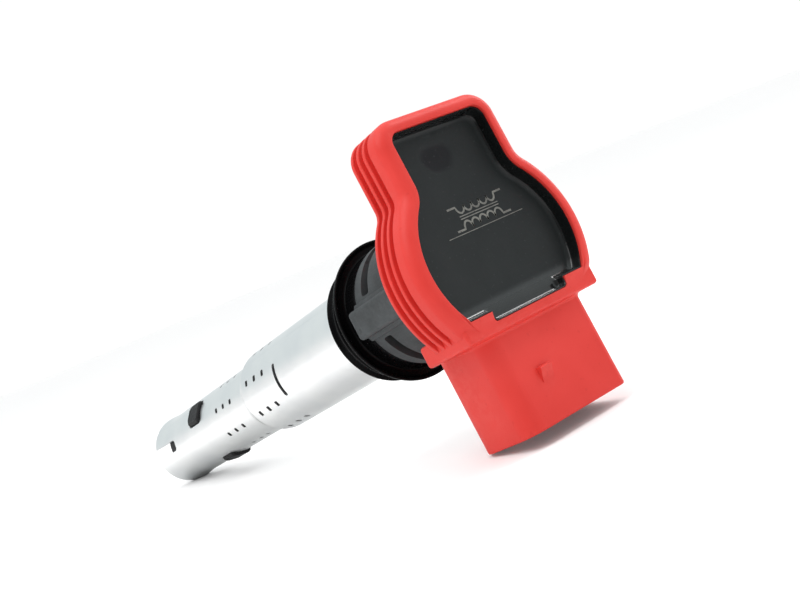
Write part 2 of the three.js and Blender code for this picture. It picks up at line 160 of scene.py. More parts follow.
def applyModifiers(piece):
    view = bpy.context.evaluated_depsgraph_get()
    mesh = bpy.data.meshes.new_from_object(piece.evaluated_get(view))
    piece.modifiers.clear()
    piece.data = mesh


def combine(piece, tool, how):  # how is UNION or DIFFERENCE, and the tool is used up
    modifier = piece.modifiers.new("combine", "BOOLEAN")
    modifier.operation, modifier.solver, modifier.object = how, "EXACT", tool
    applyModifiers(piece)
    bpy.data.objects.remove(tool)
    tidyMesh(piece)


def bevelEdges(piece, chosen, width, segments=3):  # rounds the edges for which chosen(a, b) is true, in mm
    work = bmesh.new()
    work.from_mesh(piece.data)
    edges = [e for e in work.edges
             if chosen(e.verts[0].co / mm, e.verts[1].co / mm) and len(e.link_faces) == 2]
    bmesh.ops.bevel(work, geom=edges, offset=width * mm, segments=segments, profile=0.5, affect="EDGES")
    bmesh.ops.recalc_face_normals(work, faces=work.faces)
    work.to_mesh(piece.data)
    work.free()


def finishPiece(piece, material, nodes=(), body="coil_body", sharp=34):
    # shading, material and the CAD nodes that the piece stands for
    piece.data.name = piece.name
    piece.data.shade_smooth()
    piece.data.set_sharp_from_angle(angle=math.radians(sharp))
    weighted = piece.modifiers.new("shading", "WEIGHTED_NORMAL")
    weighted.keep_sharp = True
    piece.data.materials.clear()
    piece.data.materials.append(material)
    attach(piece, body)
    if nodes:
        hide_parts(*nodes)
    return piece


def newGroup(name, inputs, outputs):
    group = bpy.data.node_groups.new(name, "ShaderNodeTree")
    for label, value in inputs:
        kind = "NodeSocketColor" if isinstance(value, tuple) else "NodeSocketFloat"
        group.interface.new_socket(label, in_out="INPUT", socket_type=kind).default_value = value
    for label, kind in outputs:
        group.interface.new_socket(label, in_out="OUTPUT", socket_type="NodeSocket" + kind)
    return group, group.nodes.new("NodeGroupInput"), group.nodes.new("NodeGroupOutput")


def addNode(tree, kind, **settings):
    node = tree.nodes.new("ShaderNode" + kind)
    for key, value in settings.items():
        setattr(node, key, value)
    return node


def wire(tree, source, target):
    tree.links.new(source, target)


noiseSpan = (0.3, 0.7)  # most of a noise's values lie between these


def addNoise(tree, vector, scale, detail=3.0, rough=0.55):
    made = addNode(tree, "TexNoise")
    wire(tree, vector, made.inputs["Vector"])
    if isinstance(scale, (int, float)):
        made.inputs["Scale"].default_value = scale
    else:
        wire(tree, scale, made.inputs["Scale"])
    made.inputs["Detail"].default_value = detail
    made.inputs["Roughness"].default_value = rough
    return made.outputs["Fac"]


def addMath(tree, how, first, second):
    made = addNode(tree, "Math", operation=how)
    for socket, value in zip(made.inputs, (first, second)):
        if isinstance(value, (int, float)):
            socket.default_value = value
        else:
            wire(tree, value, socket)
    return made.outputs[0]


def addRange(tree, value, low, high, outLow=0.0, outHigh=1.0):
    made = addNode(tree, "MapRange", interpolation_type="SMOOTHSTEP")
    wire(tree, value, made.inputs["Value"])
    for label, number in (("From Min", low), ("From Max", high), ("To Min", outLow), ("To Max", outHigh)):
        made.inputs[label].default_value = number
    return made.outputs["Result"]


def addMix(tree, factor, first, second):  # mixes two colours, each a socket or a plain colour
    made = addNode(tree, "Mix", data_type="RGBA")
    if isinstance(factor, (int, float)):
        made.inputs[0].default_value = factor
    else:
        wire(tree, factor, made.inputs[0])
    for index, value in ((6, first), (7, second)):
        if isinstance(value, tuple):
            made.inputs[index].default_value = value
        else:
            wire(tree, value, made.inputs[index])
    return made.outputs[2]


def surfaceGroup():
    # fine moulded grain, slow cloudy variation, and small specks, on one set of outputs
    group, start, end = newGroup(
        "surfaceVariation",
        [("Grain", 2200.0), ("Cloud", 60.0), ("Specks", 500.0)],
        [("Height", "Float"), ("Cloud", "Float"), ("Specks", "Float")])
    place = addNode(group, "TexCoord").outputs["Object"]
    grain = addNoise(group, place, start.outputs["Grain"], 4.0, 0.6)
    cloud = addNoise(group, place, start.outputs["Cloud"], 3.0, 0.5)
    dots = addNoise(group, place, start.outputs["Specks"], 1.0, 0.4)
    wire(group, grain, end.inputs["Height"])
    wire(group, addRange(group, cloud, *noiseSpan), end.inputs["Cloud"])
    wire(group, addRange(group, dots, 0.70, 0.76), end.inputs["Specks"])
    return group


def edgeWearGroup():
    # brighter worn edges, and darker in the hollows, from how sharply the surface turns
    group, start, end = newGroup(
        "edgeWear", [("Amount", 0.5), ("Breakup", 700.0)], [("Edge", "Float"), ("Hollow", "Float")])
    turn = addNode(group, "NewGeometry").outputs["Pointiness"]
    place = addNode(group, "TexCoord").outputs["Object"]
    patchy = addRange(group, addNoise(group, place, start.outputs["Breakup"], 3.0), 0.35, 0.65)
    edge = addMath(group, "MULTIPLY", addRange(group, turn, 0.52, 0.60), patchy)
    hollow = addRange(group, turn, 0.49, 0.42)
    wire(group, addMath(group, "MULTIPLY", edge, start.outputs["Amount"]), end.inputs["Edge"])
    wire(group, addMath(group, "MULTIPLY", hollow, start.outputs["Amount"]), end.inputs["Hollow"])
    return group


def drawnMetalGroup():
    # faint lines along the tube from drawing and rolling the sheet
    group, start, end = newGroup(
        "drawnMetal", [("Fineness", 900.0), ("Stretch", 0.02)], [("Lines", "Float"), ("Cloud", "Float")])
    place = addNode(group, "TexCoord").outputs["Object"]
    scale = addNode(group, "CombineXYZ")
    scale.inputs[0].default_value = scale.inputs[1].default_value = 1.0
    wire(group, start.outputs["Stretch"], scale.inputs[2])
    along = addNode(group, "VectorMath", operation="MULTIPLY")
    wire(group, place, along.inputs[0])
    wire(group, scale.outputs[0], along.inputs[1])
    wire(group, addNoise(group, along.outputs[0], start.outputs["Fineness"], 2.0), end.inputs["Lines"])
    wire(group, addRange(group, addNoise(group, place, 90.0, 2.0), *noiseSpan), end.inputs["Cloud"])
    return group


effects = {"surface": surfaceGroup(), "wear": edgeWearGroup(), "metal": drawnMetalGroup()}
print("shared effects ready")


def startMaterial(name, **values):
    # a material whose even values stand on the shader's own sockets
    material = bpy.data.materials.new(name)
    material.use_nodes = True
    tree = material.node_tree
    shader = tree.nodes["Principled BSDF"]
    for key, value in values.items():
        shader.inputs[key.replace("_", " ")].default_value = value
    return material, tree, shader


def useGroup(tree, key, **values):
    made = addNode(tree, "Group", node_tree=effects[key])
    for label, value in values.items():
        made.inputs[label].default_value = value
    return made.outputs


def addBump(tree, shader, height, distance, strength=1.0):
    bump = addNode(tree, "Bump")
    bump.inputs["Strength"].default_value = strength
    bump.inputs["Distance"].default_value = distance * mm
    wire(tree, height, bump.inputs["Height"])
    wire(tree, bump.outputs["Normal"], shader.inputs["Normal"])


def roughFrom(tree, shader, height, low, high):  # roughness between two values, following a height
    wire(tree, addRange(tree, height, *noiseSpan, low, high), shader.inputs["Roughness"])


plasticUsual = {"shine": 0.5, "specks": 500.0, "speckAmount": 0.4, "wear": 0.5, "bump": 0.02,
                "smoother": 0.06, "rougher": 0.08, "scuff": 0.12}
metalUsual = {"bump": 0.006, "smoother": 0.08, "rougher": 0.1}


def mouldedPlastic(name, look):
    # injection-moulded plastic: soft colour clouding, fine grain, scuffed edges and a few specks
    look = {**plasticUsual, **look}
    material, tree, shader = startMaterial(name, Specular_IOR_Level=look["shine"])
    surface = useGroup(tree, "surface", Grain=look["grain"], Cloud=look["cloud"], Specks=look["specks"])
    wear = useGroup(tree, "wear", Amount=look["wear"])
    colour = addMix(tree, surface["Cloud"], look["deep"], look["light"])
    colour = addMix(tree, wear["Edge"], colour, look["worn"])
    # darker in the hollows, following how sharply the surface turns inwards
    colour = addMix(tree, wear["Hollow"], colour, look["darkTone"])
    specks = addMath(tree, "MULTIPLY", surface["Specks"], look["speckAmount"])
    wire(tree, addMix(tree, specks, colour, look["darkTone"]), shader.inputs["Base Color"])
    low, high = look["rough"] - look["smoother"], look["rough"] + look["rougher"]
    rough = addRange(tree, surface["Height"], *noiseSpan, low, high)
    scuffed = addMath(tree, "MULTIPLY", wear["Edge"], look["scuff"])
    wire(tree, addMath(tree, "ADD", rough, scuffed), shader.inputs["Roughness"])
    addBump(tree, shader, surface["Height"], look["bump"])
    return material


def plainMetal(name, look):
    # metal with a cloudy tarnish and fine scratches
    look = {**metalUsual, **look}
    material, tree, shader = startMaterial(name, Metallic=1.0)
    surface = useGroup(tree, "surface", Grain=look["grain"], Cloud=look["cloud"])
    wire(tree, addMix(tree, surface["Cloud"], look["deep"], look["light"]), shader.inputs["Base Color"])
    low, high = look["rough"] - look["smoother"], look["rough"] + look["rougher"]
    roughFrom(tree, shader, surface["Height"], low, high)
    addBump(tree, shader, surface["Height"], look["bump"])
    return material


def patternedMaterial(name, look):
    # a regular pattern in the surface: turns of wire, stacked sheets or copper tracks
    material, tree, shader = startMaterial(name, Metallic=look["metallic"])
    surface = useGroup(tree, "surface", Grain=look["grain"], Cloud=look["cloud"])
    pattern = addNode(tree, look["texture"], **look["layout"])
    for label, value in look["sizes"].items():
        pattern.inputs[label].default_value = value
    wire(tree, addNode(tree, "TexCoord").outputs["Object"], pattern.inputs["Vector"])
    colour, lines = addMix(tree, surface["Cloud"], look["deep"], look["light"]), look["lines"]
    pair = (colour, lines) if look["linesOnTop"] else (lines, colour)
    wire(tree, addMix(tree, pattern.outputs["Fac"], *pair), shader.inputs["Base Color"])
    roughFrom(tree, shader, surface["Height"], *look["rough"])
    addBump(tree, shader, pattern.outputs["Fac"], look["bump"])
    return material


def colourOf(red, green, blue):
    return (red, green, blue, 1.0)


plasticLooks = {
    "redPlastic": {"deep": colourOf(0.66, 0.038, 0.029), "light": colourOf(0.72, 0.050, 0.040),
                   "worn": colourOf(0.80, 0.16, 0.13), "darkTone": colourOf(0.36, 0.008, 0.006),
                   "rough": 0.44, "grain": 3200.0, "cloud": 55.0, "wear": 0.12, "bump": 0.010,
                   "shine": 0.26, "speckAmount": 0.12, "specks": 900.0},
    "greyPlastic": {"deep": colourOf(0.040, 0.044, 0.046), "light": colourOf(0.062, 0.069, 0.072),
                    "worn": colourOf(0.12, 0.13, 0.13), "darkTone": colourOf(0.012, 0.012, 0.012),
                    "rough": 0.6, "grain": 2400.0, "cloud": 120.0, "wear": 0.25, "bump": 0.02, "shine": 0.2},
    "blackPlastic": {"deep": colourOf(0.010, 0.010, 0.011), "light": colourOf(0.020, 0.020, 0.022),
                     "worn": colourOf(0.07, 0.07, 0.07), "darkTone": colourOf(0.004, 0.004, 0.004),
                     "rough": 0.48, "grain": 2600.0, "cloud": 140.0, "wear": 0.3},
    "naturalPlastic": {"deep": colourOf(0.48, 0.43, 0.31), "light": colourOf(0.60, 0.55, 0.42),
                       "worn": colourOf(0.75, 0.72, 0.62), "darkTone": colourOf(0.25, 0.21, 0.14),
                       "rough": 0.5, "grain": 2000.0, "cloud": 100.0},
    "sealRubber": {"deep": colourOf(0.0018, 0.0018, 0.002), "light": colourOf(0.003, 0.003, 0.0034),
                   "worn": colourOf(0.008, 0.008, 0.008), "darkTone": colourOf(0.001, 0.001, 0.001),
                   "rough": 0.26, "grain": 1800.0, "cloud": 90.0, "wear": 0.2, "shine": 0.06, "bump": 0.006},
    "bootSilicone": {"deep": colourOf(0.006, 0.006, 0.007), "light": colourOf(0.012, 0.012, 0.013),
                     "worn": colourOf(0.03, 0.03, 0.03), "darkTone": colourOf(0.003, 0.003, 0.003),
                     "rough": 0.5, "grain": 1500.0, "cloud": 80.0, "shine": 0.18},
    "padRubber": {"deep": colourOf(0.13, 0.045, 0.035), "light": colourOf(0.19, 0.07, 0.055),
                  "worn": colourOf(0.3, 0.16, 0.13), "darkTone": colourOf(0.05, 0.02, 0.016),
                  "rough": 0.75, "grain": 1400.0, "cloud": 150.0},
    "ceramic": {"deep": colourOf(0.74, 0.71, 0.63), "light": colourOf(0.83, 0.80, 0.73),
                "worn": colourOf(0.88, 0.87, 0.84), "darkTone": colourOf(0.4, 0.36, 0.28),
                "rough": 0.38, "grain": 2600.0, "cloud": 200.0},
}
metalLooks = {
    "tinnedBrass": {"deep": colourOf(0.52, 0.49, 0.42), "light": colourOf(0.66, 0.64, 0.58),
                    "rough": 0.32, "grain": 2600.0, "cloud": 300.0},
    "springSteel": {"deep": colourOf(0.42, 0.42, 0.43), "light": colourOf(0.60, 0.60, 0.61),
                    "rough": 0.28, "grain": 3000.0, "cloud": 260.0},
    "magnetIron": {"deep": colourOf(0.045, 0.047, 0.052), "light": colourOf(0.09, 0.092, 0.10),
                   "rough": 0.5, "grain": 1600.0, "cloud": 160.0, "bump": 0.02},
}
patternLooks = {
    "copperWinding": {  # enamelled wire laid turn beside turn
        "metallic": 1.0, "texture": "TexWave", "layout": {"wave_type": "BANDS", "bands_direction": "Z"},
        "sizes": {"Scale": 900.0}, "deep": colourOf(0.36, 0.11, 0.035), "light": colourOf(0.56, 0.20, 0.075),
        "lines": colourOf(0.16, 0.045, 0.015), "linesOnTop": False, "rough": (0.26, 0.42), "bump": 0.12,
        "grain": 1800.0, "cloud": 140.0},
    "laminatedIron": {  # stacked iron strips, seen as fine lines along the stack
        "metallic": 1.0, "texture": "TexWave", "layout": {"wave_type": "BANDS", "bands_direction": "Y"},
        "sizes": {"Scale": 450.0}, "deep": colourOf(0.16, 0.165, 0.17), "light": colourOf(0.26, 0.265, 0.275),
        "lines": colourOf(0.06, 0.06, 0.065), "linesOnTop": False, "rough": (0.4, 0.55), "bump": 0.03,
        "grain": 2200.0, "cloud": 180.0},
    "circuitBoard": {  # green lacquered laminate with copper tracks showing through
        "metallic": 0.0, "texture": "TexBrick", "layout": {"offset": 0.4},
        "sizes": {"Scale": 260.0, "Mortar Size": 0.05},
        "deep": colourOf(0.010, 0.075, 0.032), "light": colourOf(0.016, 0.105, 0.047),
        "lines": colourOf(0.05, 0.19, 0.07), "linesOnTop": True, "rough": (0.3, 0.42), "bump": 0.03,
        "grain": 2600.0, "cloud": 220.0},
}
resinLook = {
    "shine": 0.24, "deep": colourOf(0.014, 0.0165, 0.017), "light": colourOf(0.019, 0.022, 0.0225),
    "wet": colourOf(0.006, 0.007, 0.007), "sunk": colourOf(0.008, 0.008, 0.010), "wetGloss": 0.78,
    "speck": colourOf(0.06, 0.065, 0.065), "speckAmount": 0.25, "rough": (0.42, 0.52), "coatRough": 0.2,
    "bump": 0.012, "bumpStrength": 0.8, "grain": 1500.0, "cloud": 45.0, "specks": 1400.0,
}
steelLook = {"deep": colourOf(0.84, 0.85, 0.855), "light": colourOf(0.90, 0.905, 0.90), "rough": (0.278, 0.292)}
etchLook = {
    "deep": colourOf(0.12, 0.12, 0.11), "light": colourOf(0.20, 0.20, 0.18),
    "speck": colourOf(0.05, 0.05, 0.05), "rough": (0.6, 0.8), "bump": 0.02,
    "grain": 4200.0, "cloud": 500.0, "specks": 1500.0,
}
materials = {name: mouldedPlastic(name, look) for name, look in plasticLooks.items()}
materials.update({name: plainMetal(name, look) for name, look in metalLooks.items()})
materials.update({name: patternedMaterial(name, look) for name, look in patternLooks.items()})


def castResinMaterial():
    # potting resin: satin in the open, wet-looking where it climbs the walls, with a sunken darker patch
    look = resinLook
    material, tree, shader = startMaterial("castResin", Specular_IOR_Level=look["shine"])
    surface = useGroup(tree, "surface", Grain=look["grain"], Cloud=look["cloud"], Specks=look["specks"])
    wet = addNode(tree, "Attribute", attribute_name="wet").outputs["Fac"]
    sunk = addNode(tree, "Attribute", attribute_name="sunk").outputs["Fac"]
    bead = addNode(tree, "Attribute", attribute_name="bead").outputs["Fac"]
    colour = addMix(tree, surface["Cloud"], look["deep"], look["light"])
    colour = addMix(tree, wet, colour, look["wet"])
    colour = addMix(tree, sunk, colour, look["sunk"])
    specks = addMath(tree, "MULTIPLY", surface["Specks"], look["speckAmount"])
    wire(tree, addMix(tree, specks, colour, look["speck"]), shader.inputs["Base Color"])
    satin = addRange(tree, surface["Height"], *noiseSpan, *look["rough"])
    gloss = addMath(tree, "SUBTRACT", 1.0, addMath(tree, "MULTIPLY", wet, look["wetGloss"]))
    wire(tree, addMath(tree, "MULTIPLY", satin, gloss), shader.inputs["Roughness"])
    wire(tree, bead, shader.inputs["Coat Weight"])
    shader.inputs["Coat Roughness"].default_value = look["coatRough"]
    addBump(tree, shader, surface["Height"], look["bump"], look["bumpStrength"])
    return material


def brightSteelMaterial():
    # thin drawn steel tube, bright, with faint lines along it and a soft tarnish
    material, tree, shader = startMaterial("brightSteel", Metallic=1.0)
    metal = useGroup(tree, "metal")
    colour = addMix(tree, metal["Cloud"], steelLook["deep"], steelLook["light"])
    wire(tree, colour, shader.inputs["Base Color"])
    roughFrom(tree, shader, metal["Lines"], *steelLook["rough"])
    return material


def etchedMaterial():
    # laser-frosted mark on the resin
    look = etchLook
    material, tree, shader = startMaterial("etchedMark")
    surface = useGroup(tree, "surface", Grain=look["grain"], Cloud=look["cloud"], Specks=look["specks"])
    colour = addMix(tree, surface["Cloud"], look["deep"], look["light"])
    wire(tree, addMix(tree, surface["Specks"], colour, look["speck"]), shader.inputs["Base Color"])
    roughFrom(tree, shader, surface["Height"], *look["rough"])
    addBump(tree, shader, surface["Height"], look["bump"])
    return material


materials["castResin"] = castResinMaterial()
materials["brightSteel"] = brightSteelMaterial()
materials["etchedMark"] = etchedMaterial()
print("materials ready")


headLow, headHigh = boxMm("head_housing")
head = {
    "lobeRadius": headHigh.x, "neckEnd": headHigh.y, "top": headHigh.z, "bottom": 29.8, "floor": 31.4,
    "lobeY": -0.5, "neckHalf": 15.8, "neckCorner": 5.5, "leastCorner": 2.6, "waist": 3.6, "outerEnd": -14.1,
    "cavityEnd": -11.4, "wall": 3.1, "shoulder": 2.5, "innerEdge": 0.35, "footEdge": 0.35, "footSoft": 0.1,
    "endDrop": 1.0, "dropY": (10.4, 13.6), "dropFrom": 38.5, "hole": 12.7, "holeDepth": 0.8,
}
ribs = {"count": 3, "first": 30.8, "pitch": 2.4, "gap": 1.45, "depth": 1.2, "lead": 0.45,
        "fadeY": (-13.5, -12.1), "edge": 0.26, "root": 0.22}
bay = {"half": 10.5, "end": -13.5, "back": -8, "top": 44, "corner": 0.8}
flange = {"left": -18.4, "right": 19.0, "back": -11.0, "front": -15.6, "bottom": 25.0, "top": 40.8,
          "edge": 0.7}
shroud = {"left": -13.85, "right": 15.0, "bottom": headLow.z, "top": 38.6, "mouth": headLow.y, "wall": 1.95,
          "corners": (5.0, 3.2, 2.0, 4.2), "socketEnd": -17.6, "edge": 0.35, "fillet": 0.9}
ramp = {"x": -3.5, "width": 3.1, "back": -25.2, "length": 3.3, "height": 1.3}
blade = {  # a terminal, and the passage that the head leaves for it
    "thick": 0.8, "tip": 1.2, "tipHalf": 0.12, "point": 0.35, "edge": 0.06, "rise": 5.2, "pad": 0.6,
    "room": 0.1, "passageEnd": -11.8, "passageTall": 0.95,
}


def arcPoints(x, y, radius, start, end, steps):
    angles = [start + (end - start) * i / steps for i in range(steps + 1)]
    return [(x + radius * math.cos(a), y + radius * math.sin(a)) for a in angles]


def headArc(inset, endY):
    # the head's outline from its right end round to its left end: lobe, waist, narrow end, waist, lobe
    radius, half, end = head["lobeRadius"] - inset, head["neckHalf"] - inset, head["neckEnd"] - inset
    waist, corner = head["waist"] + inset, max(head["neckCorner"] - inset, head["leastCorner"])
    waistX = half + waist
    waistY = head["lobeY"] + math.sqrt((radius + waist) ** 2 - waistX ** 2)
    meet = math.atan2(waistY - head["lobeY"], waistX)
    start = math.asin((endY - head["lobeY"]) / radius)
    right = arcPoints(0, head["lobeY"], radius, start, meet, 44)
    right += arcPoints(waistX, waistY, waist, math.pi + meet, math.pi, 16)[1:]
    right += arcPoints(half - corner, end - corner, corner, 0, math.pi / 2, 12)
    return right + [(-x, y) for x, y in reversed(right)]


def headSection():
    # (inset, z) from the underside up the ribbed wall, over the shoulder and down inside to the cavity floor
    bottom, top, wall = head["bottom"], head["top"], head["wall"]
    soft, foot = head["footSoft"], head["footEdge"]
    section = [(foot, bottom), (soft, bottom + soft), (0, bottom + foot)]
    for i in range(ribs["count"]):
        low = ribs["first"] + i * ribs["pitch"]
        high = low + ribs["gap"]
        corners = [(0, low - ribs["lead"], 0), (0, low, ribs["edge"]), (ribs["depth"], low, ribs["root"]),
                   (ribs["depth"], high, ribs["root"]), (0, high, ribs["edge"]), (0, high + ribs["lead"], 0)]
        section += rounded(corners, 3)[1:-1]
    shoulder, edge = head["shoulder"], head["innerEdge"]
    for step in range(11):
        angle = math.pi / 2 * step / 10
        section.append((shoulder * (1 - math.cos(angle)), top - shoulder * (1 - math.sin(angle))))
    for step in range(6):
        angle = math.pi / 2 * step / 5
        section.append((wall - edge * (1 - math.sin(angle)), top - edge * (1 - math.cos(angle))))
    return section + [(wall, mixed(top - 1, head["floor"], t / 4)) for t in range(5)]


def headRing(inset, z):
    # one level of the wall: ribs fade out towards the connector, and the rim dips a little there
    inside = inset > head["shoulder"] + 0.1
    endY = head["cavityEnd"] if inside else head["outerEnd"]
    outer, ring = headArc(0, endY), []
    for (x, y), (baseX, baseY) in zip(headArc(inset, endY), outer):
        if not inside and z < head["top"] - head["shoulder"]:
            keep = smoothStep(baseY, *ribs["fadeY"])
            x, y = mixed(baseX, x, keep), mixed(baseY, y, keep)
        drop = head["endDrop"] * smoothStep(-y, *head["dropY"]) * smoothStep(z, head["dropFrom"], head["top"])
        ring.append((x, y, z - drop))
    return ring


def boxSolid(name, low, high, edge=0.0):  # a box, with every edge rounded when edge is given
    if not edge:
        corners = [(low[0], low[1]), (high[0], low[1]), (high[0], high[1]), (low[0], high[1])]
        return prism(name, corners, low[2], high[2])
    rings = []
    for step in range(4):
        angle = math.pi / 2 * step / 3
        shrink, rise = edge * (1 - math.sin(angle)), edge * (1 - math.cos(angle))
        ring = [(low[0] + shrink, low[1] + shrink), (high[0] - shrink, low[1] + shrink),
                (high[0] - shrink, high[1] - shrink), (low[0] + shrink, high[1] - shrink)]
        rings.append((rounded([(x, y, max(edge - shrink, 0.05)) for x, y in ring], 3), rise))
    levels = [[(x, y, low[2] + rise) for x, y in outline] for outline, rise in rings]
    levels += [[(x, y, high[2] - rise) for x, y in outline] for outline, rise in reversed(rings)]
    return lofted(name, levels)


def connectorRing(grow, y):  # a level of the connector's shell, seen along it
    left, right = shroud["left"] - grow, shroud["right"] + grow
    low, high = shroud["bottom"] - grow, shroud["top"] + grow
    sides = [(left, low), (right, low), (right, high), (left, high)]
    corners = [(x, z, max(corner + grow, 0.6)) for (x, z), corner in zip(sides, shroud["corners"])]
    return [(x, y, z) for x, z in rounded(corners, 9)]


def lockRamp():
    x, half, top = ramp["x"], ramp["width"] / 2, shroud["top"]
    back, front = ramp["back"], ramp["back"] - ramp["length"]
    side = [(back + 0.25, top - 0.5), (back, top + ramp["height"] - 0.1), (back - 0.25, top + ramp["height"]),
            (front, top - 0.02), (front, top - 0.5)]
    return lofted("ramp", [[(place, y, z) for y, z in side] for place in (x - half, x + half)])


def headHousing():
    piece = lofted("headHousingShell", [headRing(inset, z) for inset, z in headSection()])
    plate = boxSolid("plate", (flange["left"], flange["front"], flange["bottom"]),
                     (flange["right"], flange["back"], flange["top"]), flange["edge"])
    combine(piece, plate, "UNION")
    mouth, back, edge = shroud["mouth"], flange["front"] + 0.5, shroud["edge"]
    shell = [(-edge, back), (-0.1, back - 0.1), (0, back - edge), (0, mouth + edge), (-0.1, mouth + 0.1),
             (-edge, mouth)]
    combine(piece, lofted("shell", [connectorRing(grow, y) for grow, y in shell]), "UNION")

    def meetsFlange(a, b):
        onFront = abs(a.y - flange["front"]) < 0.02 and abs(b.y - flange["front"]) < 0.02
        inside = all(shroud["left"] - 0.02 < p.x < shroud["right"] + 0.02 and p.z < shroud["top"] + 0.02
                     for p in (a, b))
        return onFront and inside and min(a.z, b.z) > flange["bottom"] + 0.6
    bevelEdges(piece, meetsFlange, shroud["fillet"], 4)
    combine(piece, lockRamp(), "UNION")
    wall, deep = -shroud["wall"], shroud["socketEnd"]
    socket = [(wall + 0.7, mouth - 0.5), (wall + 0.3, mouth - 0.01), (wall + 0.05, mouth + 0.3),
              (wall, mouth + 1), (wall - 0.15, deep)]
    combine(piece, lofted("socket", [connectorRing(grow, y) for grow, y in socket]), "DIFFERENCE")
    pocket = boxSolid("pocket", (-bay["half"], bay["end"], head["floor"]),
                      (bay["half"], bay["back"], bay["top"]), bay["corner"])
    combine(piece, pocket, "DIFFERENCE")
    spigot = boxMm("neck_body")[1].z
    circle = arcPoints(0, 0, head["hole"], 0, 2 * math.pi, 64)[:-1]
    hole = prism("hole", circle, head["bottom"] - 1, spigot + head["holeDepth"])
    combine(piece, hole, "DIFFERENCE")
    for i in range(4):
        low, high = boxMm(f"terminal_pin_{i + 1}")
        room = blade["room"]
        passage = boxSolid("passage", (low.x - room, deep - 0.5, low.z - room),
                           (high.x + room, blade["passageEnd"], low.z + blade["passageTall"]))
        combine(piece, passage, "DIFFERENCE")
    return finishPiece(piece, materials["redPlastic"], ["head_housing"])


headHousing()
print("head housing built")


resinLow, resinHigh = boxMm("resin_cover")
resin = {
    "bottom": resinLow.z, "rim": resinHigh.z + 0.4, "level": 37.8, "film": 0.35, "gap": 0.04, "fillet": 1.1,
    "endRise": 0.12, "creep": 0.5, "ripple": 0.05, "gridStep": 0.55, "bayCorner": 1.0,
    "patch": (-1.4, 21.3), "patchSize": (4.2, 3.1), "patchDepth": 0.22, "patchTaper": 0.35,
    "beadY": -11.9, "beadWidth": 1.5, "beadHeight": 0.6,
}


def cavityOutline(gap):  # the cavity's outline with its bay, at an even gap inside the wall
    end, bayEnd, half = head["cavityEnd"] + gap, bay["end"] + gap, bay["half"] - gap
    arc = headArc(head["wall"] + gap, end)
    inner = max(resin["bayCorner"] - gap * 0.4, 0.3)
    corners = [(arc[-1][0] + 1, end, 0), (-half, end, gap), (-half, bayEnd, inner), (half, bayEnd, inner),
               (half, end, gap), (arc[0][0] - 1, end, 0)]
    return arc + rounded(corners, 5)


def resinHeight(x, y):  # level of the resin: a bead along the connector end and a shallow sunk patch
    bead = resin["beadHeight"] * math.exp(-((y - resin["beadY"]) / resin["beadWidth"]) ** 2)
    bead *= smoothStep(bay["half"] + 1.2 - abs(x), 0, 2.2)
    creep = resin["creep"] * smoothStep(-y, 4.0, 11.0)
    ripple = resin["ripple"] * noise.noise(Vector((x * 0.25, y * 0.25, 3.0)))
    return resin["level"] + bead + creep + ripple - resin["patchDepth"] * sunkMask(x, y)


def sunkMask(x, y):  # soft shield-shaped patch
    across = (x - resin["patch"][0]) / resin["patchSize"][0]
    along = (y - resin["patch"][1]) / resin["patchSize"][1]
    narrow = 1 - resin["patchTaper"] * smoothStep(-along, -0.2, 1.2)
    distance = max(abs(across) / narrow, abs(along)) * 0.5 + math.hypot(across / narrow, along) * 0.5
    return smoothStep(1 - distance, -0.1, 0.25)


def crossings(outline, y):  # where the outline crosses a level, from left to right
    found = []
    for (x, a), (x2, b) in zip(outline, outline[1:] + outline[:1]):
        if (a - y) * (b - y) <= 0 and a != b:
            found.append(x + (x2 - x) * (y - a) / (b - a))
    return sorted(found)


def resinTop(border, inset):  # an even grid of points inside the border, with its tiles
    grid, step = [Vector(p) for p in border], resin["gridStep"]
    inside = cavityOutline(inset + step * 0.6)
    low, high = min(y for x, y in inside), max(y for x, y in inside)
    for row in range(int((high - low) / step) + 1):
        y = low + row * step
        cuts = crossings(inside, y)
        for left, right in zip(cuts[::2], cuts[1::2]):
            amount = max(int((right - left) / step), 1)
            grid += [Vector((left + (right - left) * i / amount, y)) for i in range(amount + 1)]
    flat, _, tiles, _, _, _ = delaunay_2d_cdt(grid, [], [tuple(range(len(border)))], 1, 1e-5)
    return flat, tiles


